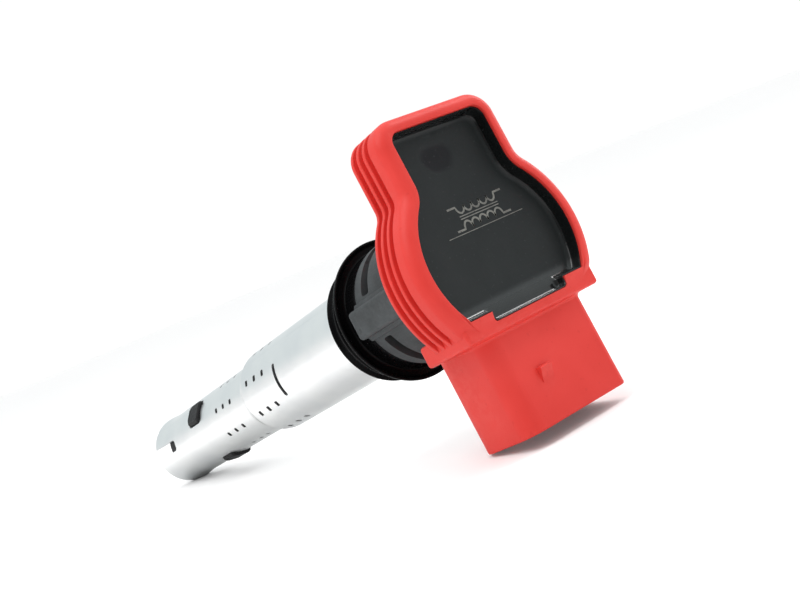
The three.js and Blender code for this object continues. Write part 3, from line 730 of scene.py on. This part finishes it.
def resinCover():
    film, gap, fillet = resin["film"], resin["gap"], resin["fillet"]
    rim, level, inner = resin["rim"], resin["level"], resin["gap"] + resin["film"] + 0.1
    rings = [(gap, resin["bottom"]), (gap, rim - 0.15), (gap + 0.1, rim), (gap + film - 0.1, rim),
             (gap + film, rim - 0.2), (inner, level + fillet)]
    for step in range(1, 9):
        angle = math.pi / 2 * step / 8
        rings.append((inner + fillet * (1 - math.cos(angle)), level + fillet * (1 - math.sin(angle))))
    outlines = [cavityOutline(inset) for inset, z in rings]
    count = len(outlines[0])
    points, faces = [], ringFaces(len(rings), count)
    for outline, (inset, z) in zip(outlines, rings):
        share = smoothStep(rim - 0.2 - z, 0, rim - 0.2 - level)
        for x, y in outline:
            lift = (resinHeight(x, y) - level) * share if inset > gap + film else 0
            rise = resin["endRise"] * smoothStep(-y, 9.6, 11.4) * (1 - share) if z > level else 0
            points.append((x, y, z + lift + rise))
    faces.append(tuple(range(count)))
    flat, tiles = resinTop(outlines[-1], rings[-1][0])
    start = len(points)
    points += [(p.x, p.y, resinHeight(p.x, p.y)) for p in flat]
    faces += [tuple(start + i for i in tile) for tile in tiles]
    piece = newPiece("resinFill", points, faces)
    marks = {"wet": [], "sunk": [], "bead": []}
    for vertex in piece.data.vertices:
        x, y, z = vertex.co / mm
        climb = smoothStep(z - resinHeight(x, y), 0.05, 0.6)
        nearEnd = smoothStep(-y, 9.2, 10.6)
        marks["wet"].append(max(climb, nearEnd))
        marks["sunk"].append(sunkMask(x, y) * (1 - climb))
        marks["bead"].append(smoothStep(-y, 8.4, 9.6))
    for key, values in marks.items():
        piece.data.attributes.new(key, "FLOAT", "POINT").data.foreach_set("value", values)
    return finishPiece(piece, materials["castResin"], ["resin_cover"], sharp=50)


resinCover()
print("resin built")

symbol = {"x": 2.0, "y": 8.2, "loops": 5, "radius": 1.08, "tall": 1.4, "tail": 2.2, "line": 0.42, "core": 0.9,
          "bars": 0.28, "barLine": 0.22, "rule": 10.5, "ruleDrop": 3.2, "ruleLine": 0.16, "thick": 0.05}


def ribbon(points, width, level, name):  # a thin flat line along points
    left, right = [], []
    for i, point in enumerate(points):
        ahead = Vector(points[min(i + 1, len(points) - 1)]) - Vector(points[max(i - 1, 0)])
        side = Vector((-ahead.y, ahead.x)).normalized() * width / 2
        left.append(Vector(point) + side)
        right.append(Vector(point) - side)
    rings = []
    for a, b in zip(left, right):
        rings.append([(a.x, a.y, level), (b.x, b.y, level), (b.x, b.y, level + symbol["thick"]),
                      (a.x, a.y, level + symbol["thick"])])
    return lofted(name, rings)


def joinPieces(name, parts):
    work = bmesh.new()
    for part in parts:
        work.from_mesh(part.data)
        bpy.data.objects.remove(part)
    mesh = bpy.data.meshes.new(name)
    work.to_mesh(mesh)
    work.free()
    piece = bpy.data.objects.new(name, mesh)
    bpy.context.scene.collection.objects.link(piece)
    return piece


def etchedSymbol():
    # the drawing sign for two coils on a core, with a rule under it
    level, radius, middle = resin["level"] - 0.01, symbol["radius"], symbol["x"]
    span = symbol["loops"] * radius
    lines = []
    for side in (1, -1):
        base = symbol["y"] + side * (symbol["core"] + radius * symbol["tall"])
        path = [(middle - span - symbol["tail"], base)]
        for loop in range(symbol["loops"]):
            centre = middle - span + radius * (2 * loop + 1)
            path += [(centre - radius * math.cos(t), base - side * radius * symbol["tall"] * math.sin(t))
                     for t in [math.pi * i / 12 for i in range(13)]]
        path.append((middle + span + symbol["tail"], base))
        lines.append(ribbon(path, symbol["line"], level, "line"))
    bars, barLine = symbol["bars"], symbol["barLine"]
    rule = (-symbol["ruleDrop"], symbol["rule"], symbol["ruleLine"])
    for offset, half, width in ((bars, span, barLine), (-bars, span, barLine), rule):
        y = symbol["y"] + offset
        lines.append(ribbon([(middle - half, y), (middle + half, y)], width, level, "line"))
    piece = joinPieces("etchedCoilSign", lines)
    return finishPiece(piece, materials["etchedMark"])


etchedSymbol()


def terminalBlade(number):
    low, high = boxMm(f"terminal_pin_{number}")
    thick, edge, flatTip, pad = blade["thick"], blade["edge"], blade["tipHalf"], high.z - blade["pad"]
    middle = (low.x + high.x) / 2
    half = (high.x - low.x) / 2
    level = low.z + thick / 2
    rise, tip = high.y - blade["rise"], low.y + blade["tip"]
    side = [(low.y, level - flatTip), (low.y, level + flatTip), (tip, level + thick / 2),
            (rise, level + thick / 2), (rise + 0.1, high.z - 0.1), (rise + 0.2, high.z), (high.y, high.z),
            (high.y, pad), (rise + thick, pad), (rise + thick, level - thick / 2), (tip, level - thick / 2)]
    rings = []
    for x, shrink in ((-half, edge), (-half + edge, 0), (half - edge, 0), (half, edge)):
        pointed = [(blade["point"] if y < low.y + 0.1 else 0) for y, z in side]
        ring = [(middle + x * (1 - p), y, z + (shrink if z < level else -shrink) * (y < rise))
                for (y, z), p in zip(side, pointed)]
        rings.append(ring)
    piece = lofted(f"terminalBlade{number}", rings)
    return finishPiece(piece, materials["tinnedBrass"], [f"terminal_pin_{number}"])


for number in range(1, 5):
    terminalBlade(number)
print("resin mark and terminals built")


neckLow, neckHigh = boxMm("neck_body")
neck = {
    "bottom": neckLow.z, "ringLow": 5.2, "slotLow": 9.0, "slotHigh": 12.0, "top": 29.5, "spigotTop": neckHigh.z,
    "hub": 12.6, "body": 14.5, "slotRadius": 12.6, "spigot": 12.4, "bore": 11.7, "mouth": 8.2, "roof": 24.6,
    "flatY": -10.7, "slots": [(20, 72), (108, 160), (200, 252), (288, 340)], "slotCorner": 0.7,
}
boss = {"inner": 12.0, "outer": neckHigh.x, "half": 3.3, "chamfer": 0.9, "foot": 4.3, "footX": 14.9, "low": 5.2}


def wrapped(name, inner, outer, centre, halfAngle, low, high, corner):
    # a cutter bent round the axis: a rounded slot, angles in degrees
    halfLength, halfHeight = math.radians(halfAngle) * outer, (high - low) / 2
    corner = min(corner, halfHeight, halfLength)
    columns = []
    for step in range(7):
        angle = math.pi / 2 * step / 6
        s = corner * (1 - math.cos(angle)) - halfLength
        columns.append((s, halfHeight - corner * (1 - math.sin(angle))))
    steps = max(int(halfLength * 2 / 0.8), 1)
    flat = halfLength - corner
    straight = [(mixed(-flat, flat, i / steps), halfHeight) for i in range(1, steps)]
    columns += straight + [(-s, h) for s, h in reversed(columns)]
    points, middle = [], (low + high) / 2
    for s, h in columns:
        angle = math.radians(centre) + s / outer
        h = max(h, 0.02)
        for radius in (inner, outer):
            for z in (middle - h, middle + h):
                points.append((radius * math.cos(angle), radius * math.sin(angle), z))
    faces = []
    for i in range(len(columns) - 1):
        a, b = i * 4, (i + 1) * 4
        faces += [(a, b, b + 1, a + 1), (a + 1, b + 1, b + 3, a + 3), (a + 3, b + 3, b + 2, a + 2),
                  (a + 2, b + 2, b, a)]
    end = (len(columns) - 1) * 4
    faces += [(0, 1, 3, 2), (end, end + 2, end + 3, end + 1)]
    return newPiece(name, points, faces)


def neckBody():
    n = neck
    profile = rounded([
        (n["bore"], n["bottom"], 0.2), (n["hub"], n["bottom"], 0.3), (n["hub"], n["ringLow"], 0.3),
        (n["body"] - 0.3, n["ringLow"], 0.9), (n["body"], n["ringLow"] + 1.6, 0.8), (n["body"], n["top"], 0.2),
        (n["spigot"], n["top"], 0.2), (n["spigot"], n["spigotTop"], 0.3), (n["mouth"], n["spigotTop"], 0.2),
        (n["mouth"], n["roof"], 0.2), (n["bore"], n["roof"], 0.2)], 4)
    piece = turned("neckHousing", profile, 120)
    b, half, foot, footX = boss, boss["half"], boss["foot"], boss["footX"]
    lowerHalf = [(b["inner"], -foot, 0), (footX - 0.5, -foot, 0.3), (footX, -half - 0.15, 0.12),
                 (footX + 0.05, -half, 0.1), (b["outer"], -half, b["chamfer"])]
    outline = rounded(lowerHalf + [(x, -y, radius) for x, y, radius in reversed(lowerHalf)], 4)
    levels = [(b["low"], 0.8), (b["low"] + 0.15, 0.4), (b["low"] + 0.6, 0.08), (b["low"] + 1, 0), (n["top"], 0)]
    for side in (1, -1):
        rings = [[(side * max(x - shrink, b["inner"]), side * y * (1 - shrink * 0.12), z) for x, y in outline]
                 for z, shrink in levels]
        combine(piece, lofted("bossBar", rings), "UNION")
    bore = arcPoints(0, 0, n["bore"], 0, 2 * math.pi, 120)[:-1]
    combine(piece, prism("clear", bore, n["bottom"] - 1, n["roof"] - 0.1), "DIFFERENCE")
    for start, end in n["slots"]:
        slot = wrapped("slot", n["slotRadius"], n["body"] + 1.5, (start + end) / 2, (end - start) / 2,
                       n["slotLow"], n["slotHigh"], n["slotCorner"])
        combine(piece, slot, "DIFFERENCE")
    flat = boxSolid("flat", (-30, -30, flange["bottom"] - 0.2), (30, n["flatY"], n["spigotTop"] + 1))
    combine(piece, flat, "DIFFERENCE")
    return finishPiece(piece, materials["greyPlastic"], ["neck_body"])


neckBody()
print("neck built")

sealLow, sealHigh = boxMm("well_seal")
seal = {"lip": sealHigh.x, "hub": 14.0, "top": sealHigh.z, "bottom": sealLow.z, "lipLow": -0.5,
        "lipEdge": 0.25, "lipHigh": 1.1, "clear": 12.7, "inner": 11.55, "step": -2.1, "valley": 0.5,
        "ribs": (-6.8, -4.0), "ribOut": 0.7, "ribHalf": 0.75, "ribFlat": 0.2}


def wellSeal():
    s, hub, lip, valley = seal, seal["hub"], seal["lip"], seal["valley"]
    corners = [(s["inner"], s["bottom"], 0.2), (hub - 0.6, s["bottom"], 0.3), (hub, s["bottom"] + 0.9, 0.4)]
    for z in s["ribs"]:
        corners += [(hub, z - s["ribHalf"], 0.15), (hub + s["ribOut"], z - s["ribFlat"], 0.2),
                    (hub + s["ribOut"], z + s["ribFlat"], 0.2), (hub, z + s["ribHalf"], 0.15)]
    corners += [
        (hub, s["lipLow"], 0.4), (lip - 0.9, s["lipEdge"] - 0.1, 0.8), (lip, s["lipEdge"], 0.2),
        (lip, s["lipHigh"], 0.25), (lip - 0.55, s["lipHigh"], 0.25), (lip - 0.75, valley + 0.2, 0.15),
        (lip - 1.2, valley, 0.3), (hub, valley, 0.7), (hub - 0.15, s["top"] - 0.1, 0.45),
        (s["clear"], s["top"], 0.2), (s["clear"], s["step"], 0.1), (s["inner"], s["step"], 0.1)]
    piece = turned("wellSealRing", rounded(corners, 4), 128)
    return finishPiece(piece, materials["sealRubber"], ["well_seal"], sharp=50)


wellSeal()
print("seal built")


sleeveLow, sleeveHigh = boxMm("shield_sleeve")
sleeve = {
    "top": sleeveHigh.z, "tip": sleeveLow.z, "upper": sleeveHigh.x, "lower": 9.8, "wall": 0.5,
    "stepHigh": -64.6, "stepLow": -69.4, "flare": 0.55, "flareLength": 9.0,
    "longSlots": [177.5, 357.5], "longHalf": 22.5, "longZ": (-45.1, -43.7), "longCorner": 0.5,
    "upperRows": [-61.3, -56.3, -51.3], "upperStart": 157,
    "lowerRows": [-86.6, -81.7, -76.8], "lowerStart": 161,
    "rowHalf": 4.0, "rowTall": 1.4, "rowCorner": 0.4,
    "windowCentre": 141, "windowHalf": 21.0, "window": (-107.3, -98.5), "windowCorner": 1.6,
    "notchCentre": 170.5, "notchHalf": 9.5, "notchTop": -120.5, "notchCorner": 1.3,
    "seam": 130, "seamDip": 0.12, "rolled": 0.12, "coarse": 3.0, "fine": 0.7, "steps": 144,
}


def sleeveRadius(z):  # outside radius: straight, a soft shoulder, straight again, then a slight flare
    s = sleeve
    radius = mixed(s["lower"], s["upper"], smoothStep(z, s["stepLow"], s["stepHigh"]))
    rolled = s["rolled"] * math.exp(-((z - s["stepHigh"] - 0.9) / 0.7) ** 2)
    flared = s["flare"] * smoothStep(s["tip"] + s["flareLength"] - z, 0, s["flareLength"])
    return radius - rolled * 0.5 + flared


def sleeveTube():
    s = sleeve
    levels, steps = [s["top"], s["top"] - 0.12], s["steps"]
    z = s["top"] - 2
    while z > s["tip"] + 0.3:
        levels.append(z)
        z -= s["fine"] if s["stepLow"] - 1.5 < z < s["stepHigh"] + 3 else s["coarse"]
    levels += [s["tip"] + 0.25, s["tip"]]
    points, faces = [], []
    for step in range(steps):
        angle = 2 * math.pi * step / steps
        fold = abs((math.degrees(angle) - s["seam"] + 180) % 360 - 180)
        dip = s["seamDip"] * (1 - smoothStep(fold, 0.6, 1.6))
        outside = [(sleeveRadius(z) - dip - (0.08 if z in (levels[0], levels[-1]) else 0), z) for z in levels]
        inside = [(sleeveRadius(z) - s["wall"], z) for z in reversed(levels)]
        points += [(r * math.cos(angle), r * math.sin(angle), z) for r, z in outside + inside]
    count = 2 * len(levels)
    for step in range(steps):
        here, after = step * count, (step + 1) % steps * count
        faces += [(here + i, after + i, after + (i + 1) % count, here + (i + 1) % count) for i in range(count)]
    return newPiece("shieldTube", points, faces)


def shieldSleeve():
    s = sleeve
    piece = sleeveTube()
    cuts = []

    def punch(radius, centre, half, low, high, corner):
        cuts.append(wrapped("punch", radius - 1.4, radius + 1.0, centre, half, low, high, corner))
    for centre in s["longSlots"]:
        punch(s["upper"], centre, s["longHalf"], *s["longZ"], s["longCorner"])
    tall = s["rowTall"] / 2
    for step in range(8):
        for part in ("upper", "lower"):
            for z in s[part + "Rows"]:
                centre = s[part + "Start"] + 45 * step
                punch(s[part], centre, s["rowHalf"], z - tall, z + tall, s["rowCorner"])
    flared = s["lower"] + 0.3
    for turn in (0, 120, 240):
        punch(flared, s["windowCentre"] + turn, s["windowHalf"], *s["window"], s["windowCorner"])
        punch(flared, s["notchCentre"] + turn, s["notchHalf"], s["tip"] - 3, s["notchTop"], s["notchCorner"])
    combine(piece, joinPieces("punches", cuts), "DIFFERENCE")
    return finishPiece(piece, materials["brightSteel"], ["shield_sleeve"], sharp=40)


shieldSleeve()
print("sleeve built")


bootLow, bootHigh = boxMm("plug_boot")
boot = {
    "outer": 9.0, "top": bootHigh.z, "bottom": bootLow.z, "socket": 4.8, "chamber": 3.95, "chamberTop": -78.0,
    "bore": 5.2, "boreTop": -92.0, "entry": 6.2, "grips": (-101.7, -109.7), "gripHalf": 0.7, "gripHeight": 0.45,
    "lugOuter": bootHigh.x, "lugLow": -107.0, "lugHigh": -98.8, "lugHalf": 19.5, "lugCentre": 141,
    "lugEdge": 0.9, "lugCorner": 1.3,
}


def plugBoot():
    b, bore = boot, boot["bore"]
    corners = [
        (b["entry"], b["bottom"], 0.3), (b["outer"], b["bottom"], 0.7), (b["outer"], b["top"], 0.5),
        (b["socket"], b["top"], 0.3), (b["socket"], b["chamberTop"], 0.1), (b["chamber"], b["chamberTop"], 0.1),
        (b["chamber"], b["boreTop"], 0.2), (bore, b["boreTop"] - 1.2, 0.3)]
    half = b["gripHalf"]
    for z in b["grips"]:
        corners += [(bore, z + half, 0.2), (bore - b["gripHeight"], z, 0.25), (bore, z - half, 0.2)]
    piece = turned("plugBootMoulding", rounded(corners + [(bore, b["bottom"] + 2, 0.5)], 4), 96)
    for third in range(3):
        centre = math.radians(b["lugCentre"] + 120 * third)
        rings = []
        for grow in (0.0, 0.35, 0.7, 0.9, 1.0):
            radius = mixed(b["outer"] - 1, b["lugOuter"], grow)
            shrink = b["lugEdge"] * (1 - math.sqrt(1 - (grow - 0.5) ** 2 * 4)) if grow > 0.5 else 0
            half = math.radians(b["lugHalf"]) * radius - shrink
            low, high = b["lugLow"] + shrink, b["lugHigh"] - shrink * 0.6
            corners = [(-half, low), (half, low), (half, high), (-half, high)]
            outline = rounded([(s, z, b["lugCorner"]) for s, z in corners], 4)
            rings.append([(radius * math.cos(centre + s / radius), radius * math.sin(centre + s / radius), z)
                          for s, z in outline])
        combine(piece, lofted("lug", rings), "UNION")
    return finishPiece(piece, materials["bootSilicone"], ["plug_boot"])


plugBoot()

cupLow, cupHigh = boxMm("contact_cup")
springLow, springHigh = boxMm("contact_spring")
spring = {"radius": 2.6, "wire": 0.35, "turns": 6, "steps": 26, "sides": 12, "travel": 5.0, "closed": 0.7,
          "ease": 0.25}
cup = {"outer": cupHigh.x, "wall": 0.55, "low": cupLow.z, "high": cupHigh.z, "floor": 1.2, "nose": 1.6,
       "noseTip": 0.9}


def contactSpring():
    # wire spring whose first and last turns close up flat
    path, wireRadius, radius, turns = [], spring["wire"], spring["radius"], spring["turns"]
    low, high = springLow.z + wireRadius, springHigh.z - wireRadius
    total, ease = turns * spring["steps"], spring["ease"]
    for i in range(total + 1):
        turn = i / spring["steps"]
        even = min(max(turn - spring["closed"], 0) / (turns - 2 * spring["closed"]), 1)
        rise = smoothStep(turn, 0.2, turns - 0.2) * ease + (1 - ease) * even
        angle = 2 * math.pi * turn
        path.append(Vector((radius * math.cos(angle), radius * math.sin(angle), mixed(low, high, rise))))
    rings = []
    for i, point in enumerate(path):
        ahead = (path[min(i + 1, total)] - path[max(i - 1, 0)]).normalized()
        outward = Vector((point.x, point.y, 0)).normalized()
        side = ahead.cross(outward).normalized()
        outward = side.cross(ahead).normalized()
        rings.append([tuple(point + (outward * math.cos(a) + side * math.sin(a)) * wireRadius)
                      for a in [2 * math.pi * k / spring["sides"] for k in range(spring["sides"])]])
    piece = lofted("contactSpringWire", rings)
    finishPiece(piece, materials["springSteel"], ["contact_spring"])
    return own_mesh(piece)


def contactCup():
    outer, inner, low, high = cup["outer"], cup["outer"] - cup["wall"], cup["low"], cup["high"]
    floor = high - cup["floor"]
    profile = rounded([
        (inner, low, 0.1), (outer - 0.12, low, 0.1), (outer, low + 0.5, 0.3), (outer, low + 2.2, 0.2),
        (outer - 0.18, low + 2.6, 0.2), (outer, low + 3.0, 0.2), (outer, high - 0.2, 0.5),
        (cup["nose"], high - 0.2, 0.2), (cup["noseTip"], high, 0.2), (0, high, 0), (0, floor, 0),
        (inner, floor, 0.3)], 3)
    piece = turned("contactCupShell", profile, 48)
    return finishPiece(piece, materials["tinnedBrass"], ["contact_cup"], body="contact")


contactSpring()
contactCup()
print("boot, spring and cup built")


innerLooks = {
    "coil_case": "blackPlastic", "primary_bobbin": "naturalPlastic", "secondary_bobbin": "naturalPlastic",
    "primary_winding": "copperWinding", "secondary_winding": "copperWinding", "core_stack": "laminatedIron",
    "magnet_upper": "magnetIron", "magnet_lower": "magnetIron", "core_buffer_upper": "padRubber",
    "core_buffer_lower": "padRubber", "lead_supply": "tinnedBrass", "lead_switched": "tinnedBrass",
    "hv_terminal": "tinnedBrass", "suppressor_resistor": "ceramic", "driver_board": "circuitBoard",
    "heat_spreader": "copperWinding", "power_transistor": "blackPlastic",
    "smoothing_capacitor": "naturalPlastic",
}
for nodeName, look in innerLooks.items():
    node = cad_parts[nodeName]
    for place in node.material_slots:
        place.material = materials[look]
print("inner pieces dressed")


camera = {"place": (-163.653, -18.730, 228.752), "right": (0.7369, -0.4661, 0.4897),
          "up": (0.3413, 0.8817, 0.3256), "lens": 56.42}
heel = Vector((0, shroud["mouth"], shroud["bottom"]))  # what the coil lies on: the connector's edge
toe = Vector((0, -sleeve["lower"], sleeve["tip"]))  # and the sleeve's tip
along = (heel - toe).normalized()
floorUp = Vector((1, 0, 0)).cross(along)
if floorUp.y < 0:
    floorUp.negate()


def placeCamera():
    data = bpy.data.cameras.new("camera")
    data.lens = camera["lens"]
    data.clip_start, data.clip_end = 0.01, 20
    made = bpy.data.objects.new("camera", data)
    right, up = Vector(camera["right"]).normalized(), Vector(camera["up"]).normalized()
    back = right.cross(up).normalized()
    up = back.cross(right)
    turn = Matrix((right, up, back)).transposed().to_4x4()
    made.matrix_world = Matrix.Translation(Vector(camera["place"]) * mm) @ turn
    bpy.context.scene.collection.objects.link(made)
    bpy.context.scene.camera = made
    return back


towardsCamera = placeCamera()


# the darker grey for the strip under the tube is painted shade, seen only where the tube mirrors the floor
ground = {
    "half": 3000, "gap": 0.05, "rough": 0.5, "shine": 0.1, "cloud": 6.0, "deep": colourOf(0.91, 0.91, 0.91),
    "light": colourOf(0.93, 0.93, 0.93), "paintedTubeShade": colourOf(0.56, 0.57, 0.57), "strip": (0.034, 0.003),
    "glow": 0.09,
}


def layFloor():
    half = ground["half"]
    side = Vector((1, 0, 0))
    middle = heel - floorUp * ground["gap"]
    corners = [middle + side * half * a + along * half * b for a, b in ((-1, -1), (1, -1), (1, 1), (-1, 1))]
    floor = newPiece("floor", [tuple(c) for c in corners], [(0, 1, 2, 3)])
    if floor.data.polygons[0].normal.dot(floorUp) < 0:
        floor.data.flip_normals()
    material, tree, shader = startMaterial("paleFloor", Roughness=ground["rough"],
                                           Specular_IOR_Level=ground["shine"])
    place = addNode(tree, "TexCoord").outputs["Object"]
    cloud = addRange(tree, addNoise(tree, place, ground["cloud"]), *noiseSpan)
    even = addMix(tree, cloud, ground["deep"], ground["light"])
    parts = addNode(tree, "SeparateXYZ")
    wire(tree, place, parts.inputs[0])
    beside = addRange(tree, addMath(tree, "ABSOLUTE", parts.outputs["X"], 0.0), *ground["strip"])
    path = addNode(tree, "LightPath").outputs
    paintedShadeStrip = addMath(tree, "MULTIPLY", beside, path["Is Glossy Ray"])  # painted shade: the floor strip under the tube is darker, seen only in the tube's reflections
    wire(tree, addMix(tree, paintedShadeStrip, even, ground["paintedTubeShade"]), shader.inputs["Base Color"])
    shader.inputs["Emission Color"].default_value = colourOf(1.0, 1.0, 1.0)
    glow = addMath(tree, "MULTIPLY", path["Is Camera Ray"], ground["glow"])
    wire(tree, glow, shader.inputs["Emission Strength"])
    clear = addNode(tree, "BsdfTransparent")
    choose = addNode(tree, "MixShader")
    wire(tree, addNode(tree, "NewGeometry").outputs["Backfacing"], choose.inputs[0])
    wire(tree, shader.outputs[0], choose.inputs[1])
    wire(tree, clear.outputs[0], choose.inputs[2])
    wire(tree, choose.outputs[0], tree.nodes["Material Output"].inputs["Surface"])
    floor.data.materials.append(material)


studio = {  # what shiny surfaces mirror, and the soft light on the rest
    "mirrorLow": colourOf(0.95, 0.96, 0.96), "mirrorHigh": colourOf(0.72, 0.78, 0.79),
    "mirrorFront": colourOf(0.22, 0.22, 0.22), "ceilingFrom": (0.06, 0.20), "frontSpan": (0.55, 0.92),
    "softLow": colourOf(0.70, 0.70, 0.70), "softHigh": colourOf(1.14, 1.14, 1.14),
    "softFront": colourOf(0.50, 0.50, 0.50), "softSpan": (0.0, 0.8), "backdrop": colourOf(1.02, 1.02, 1.02),
}


def paintWorld():
    # an even white room for soft light, with a greyer ceiling and a dim camera side in what shines
    world = bpy.data.worlds.new("studio")
    bpy.context.scene.world = world
    world.use_nodes = True
    tree = world.node_tree
    sky = tree.nodes["Background"]
    direction = addNode(tree, "TexCoord").outputs["Generated"]

    def towards(vector):
        dot = addNode(tree, "VectorMath", operation="DOT_PRODUCT")
        wire(tree, direction, dot.inputs[0])
        dot.inputs[1].default_value = vector
        return dot.outputs["Value"]
    height = addRange(tree, towards(floorUp), *studio["ceilingFrom"])
    front = addRange(tree, towards(towardsCamera), *studio["frontSpan"])
    mirrored = addMix(tree, height, studio["mirrorLow"], studio["mirrorHigh"])
    mirrored = addMix(tree, front, mirrored, studio["mirrorFront"])
    overhead = addRange(tree, towards(floorUp), *studio["softSpan"])
    soft = addMix(tree, overhead, studio["softLow"], studio["softHigh"])
    soft = addMix(tree, front, soft, studio["softFront"])
    path = addNode(tree, "LightPath").outputs
    colour = addMix(tree, path["Is Glossy Ray"], soft, mirrored)
    wire(tree, addMix(tree, path["Is Camera Ray"], colour, studio["backdrop"]), sky.inputs["Color"])


lamps = [  # name, direction from the coil (across, up, along the tube towards the head), distance, size, power
    {"name": "keyLeft", "from": (-0.60, 0.95, 0.10), "distance": 600, "size": 420, "power": 1.3},
    {"name": "topFill", "from": (0.10, 1.00, -0.15), "distance": 700, "size": 700, "power": 0.8},
    {"name": "streak", "from": (0.58, 0.76, 0.25), "distance": 700, "size": 170, "power": 0.8},
    {"name": "rightRim", "from": (0.95, 0.45, 0.05), "distance": 600, "size": 300, "power": 0.7},
]


def hangLamps():
    centre = (cadBox[0] + cadBox[1]) / 2
    for lamp in lamps:
        data = bpy.data.lights.new(lamp["name"], "AREA")
        data.shape, data.size, data.energy = "SQUARE", lamp["size"] * mm, lamp["power"]
        made = bpy.data.objects.new(lamp["name"], data)
        across, up, ahead = lamp["from"]
        direction = (Vector((1, 0, 0)) * across + floorUp * up + along * ahead).normalized()
        made.location = centre + direction * lamp["distance"] * mm
        made.rotation_euler = direction.to_track_quat("Z", "Y").to_euler()
        bpy.context.scene.collection.objects.link(made)


layFloor()
paintWorld()
hangLamps()
bpy.context.scene.view_settings.view_transform = "Standard"
print("studio ready")
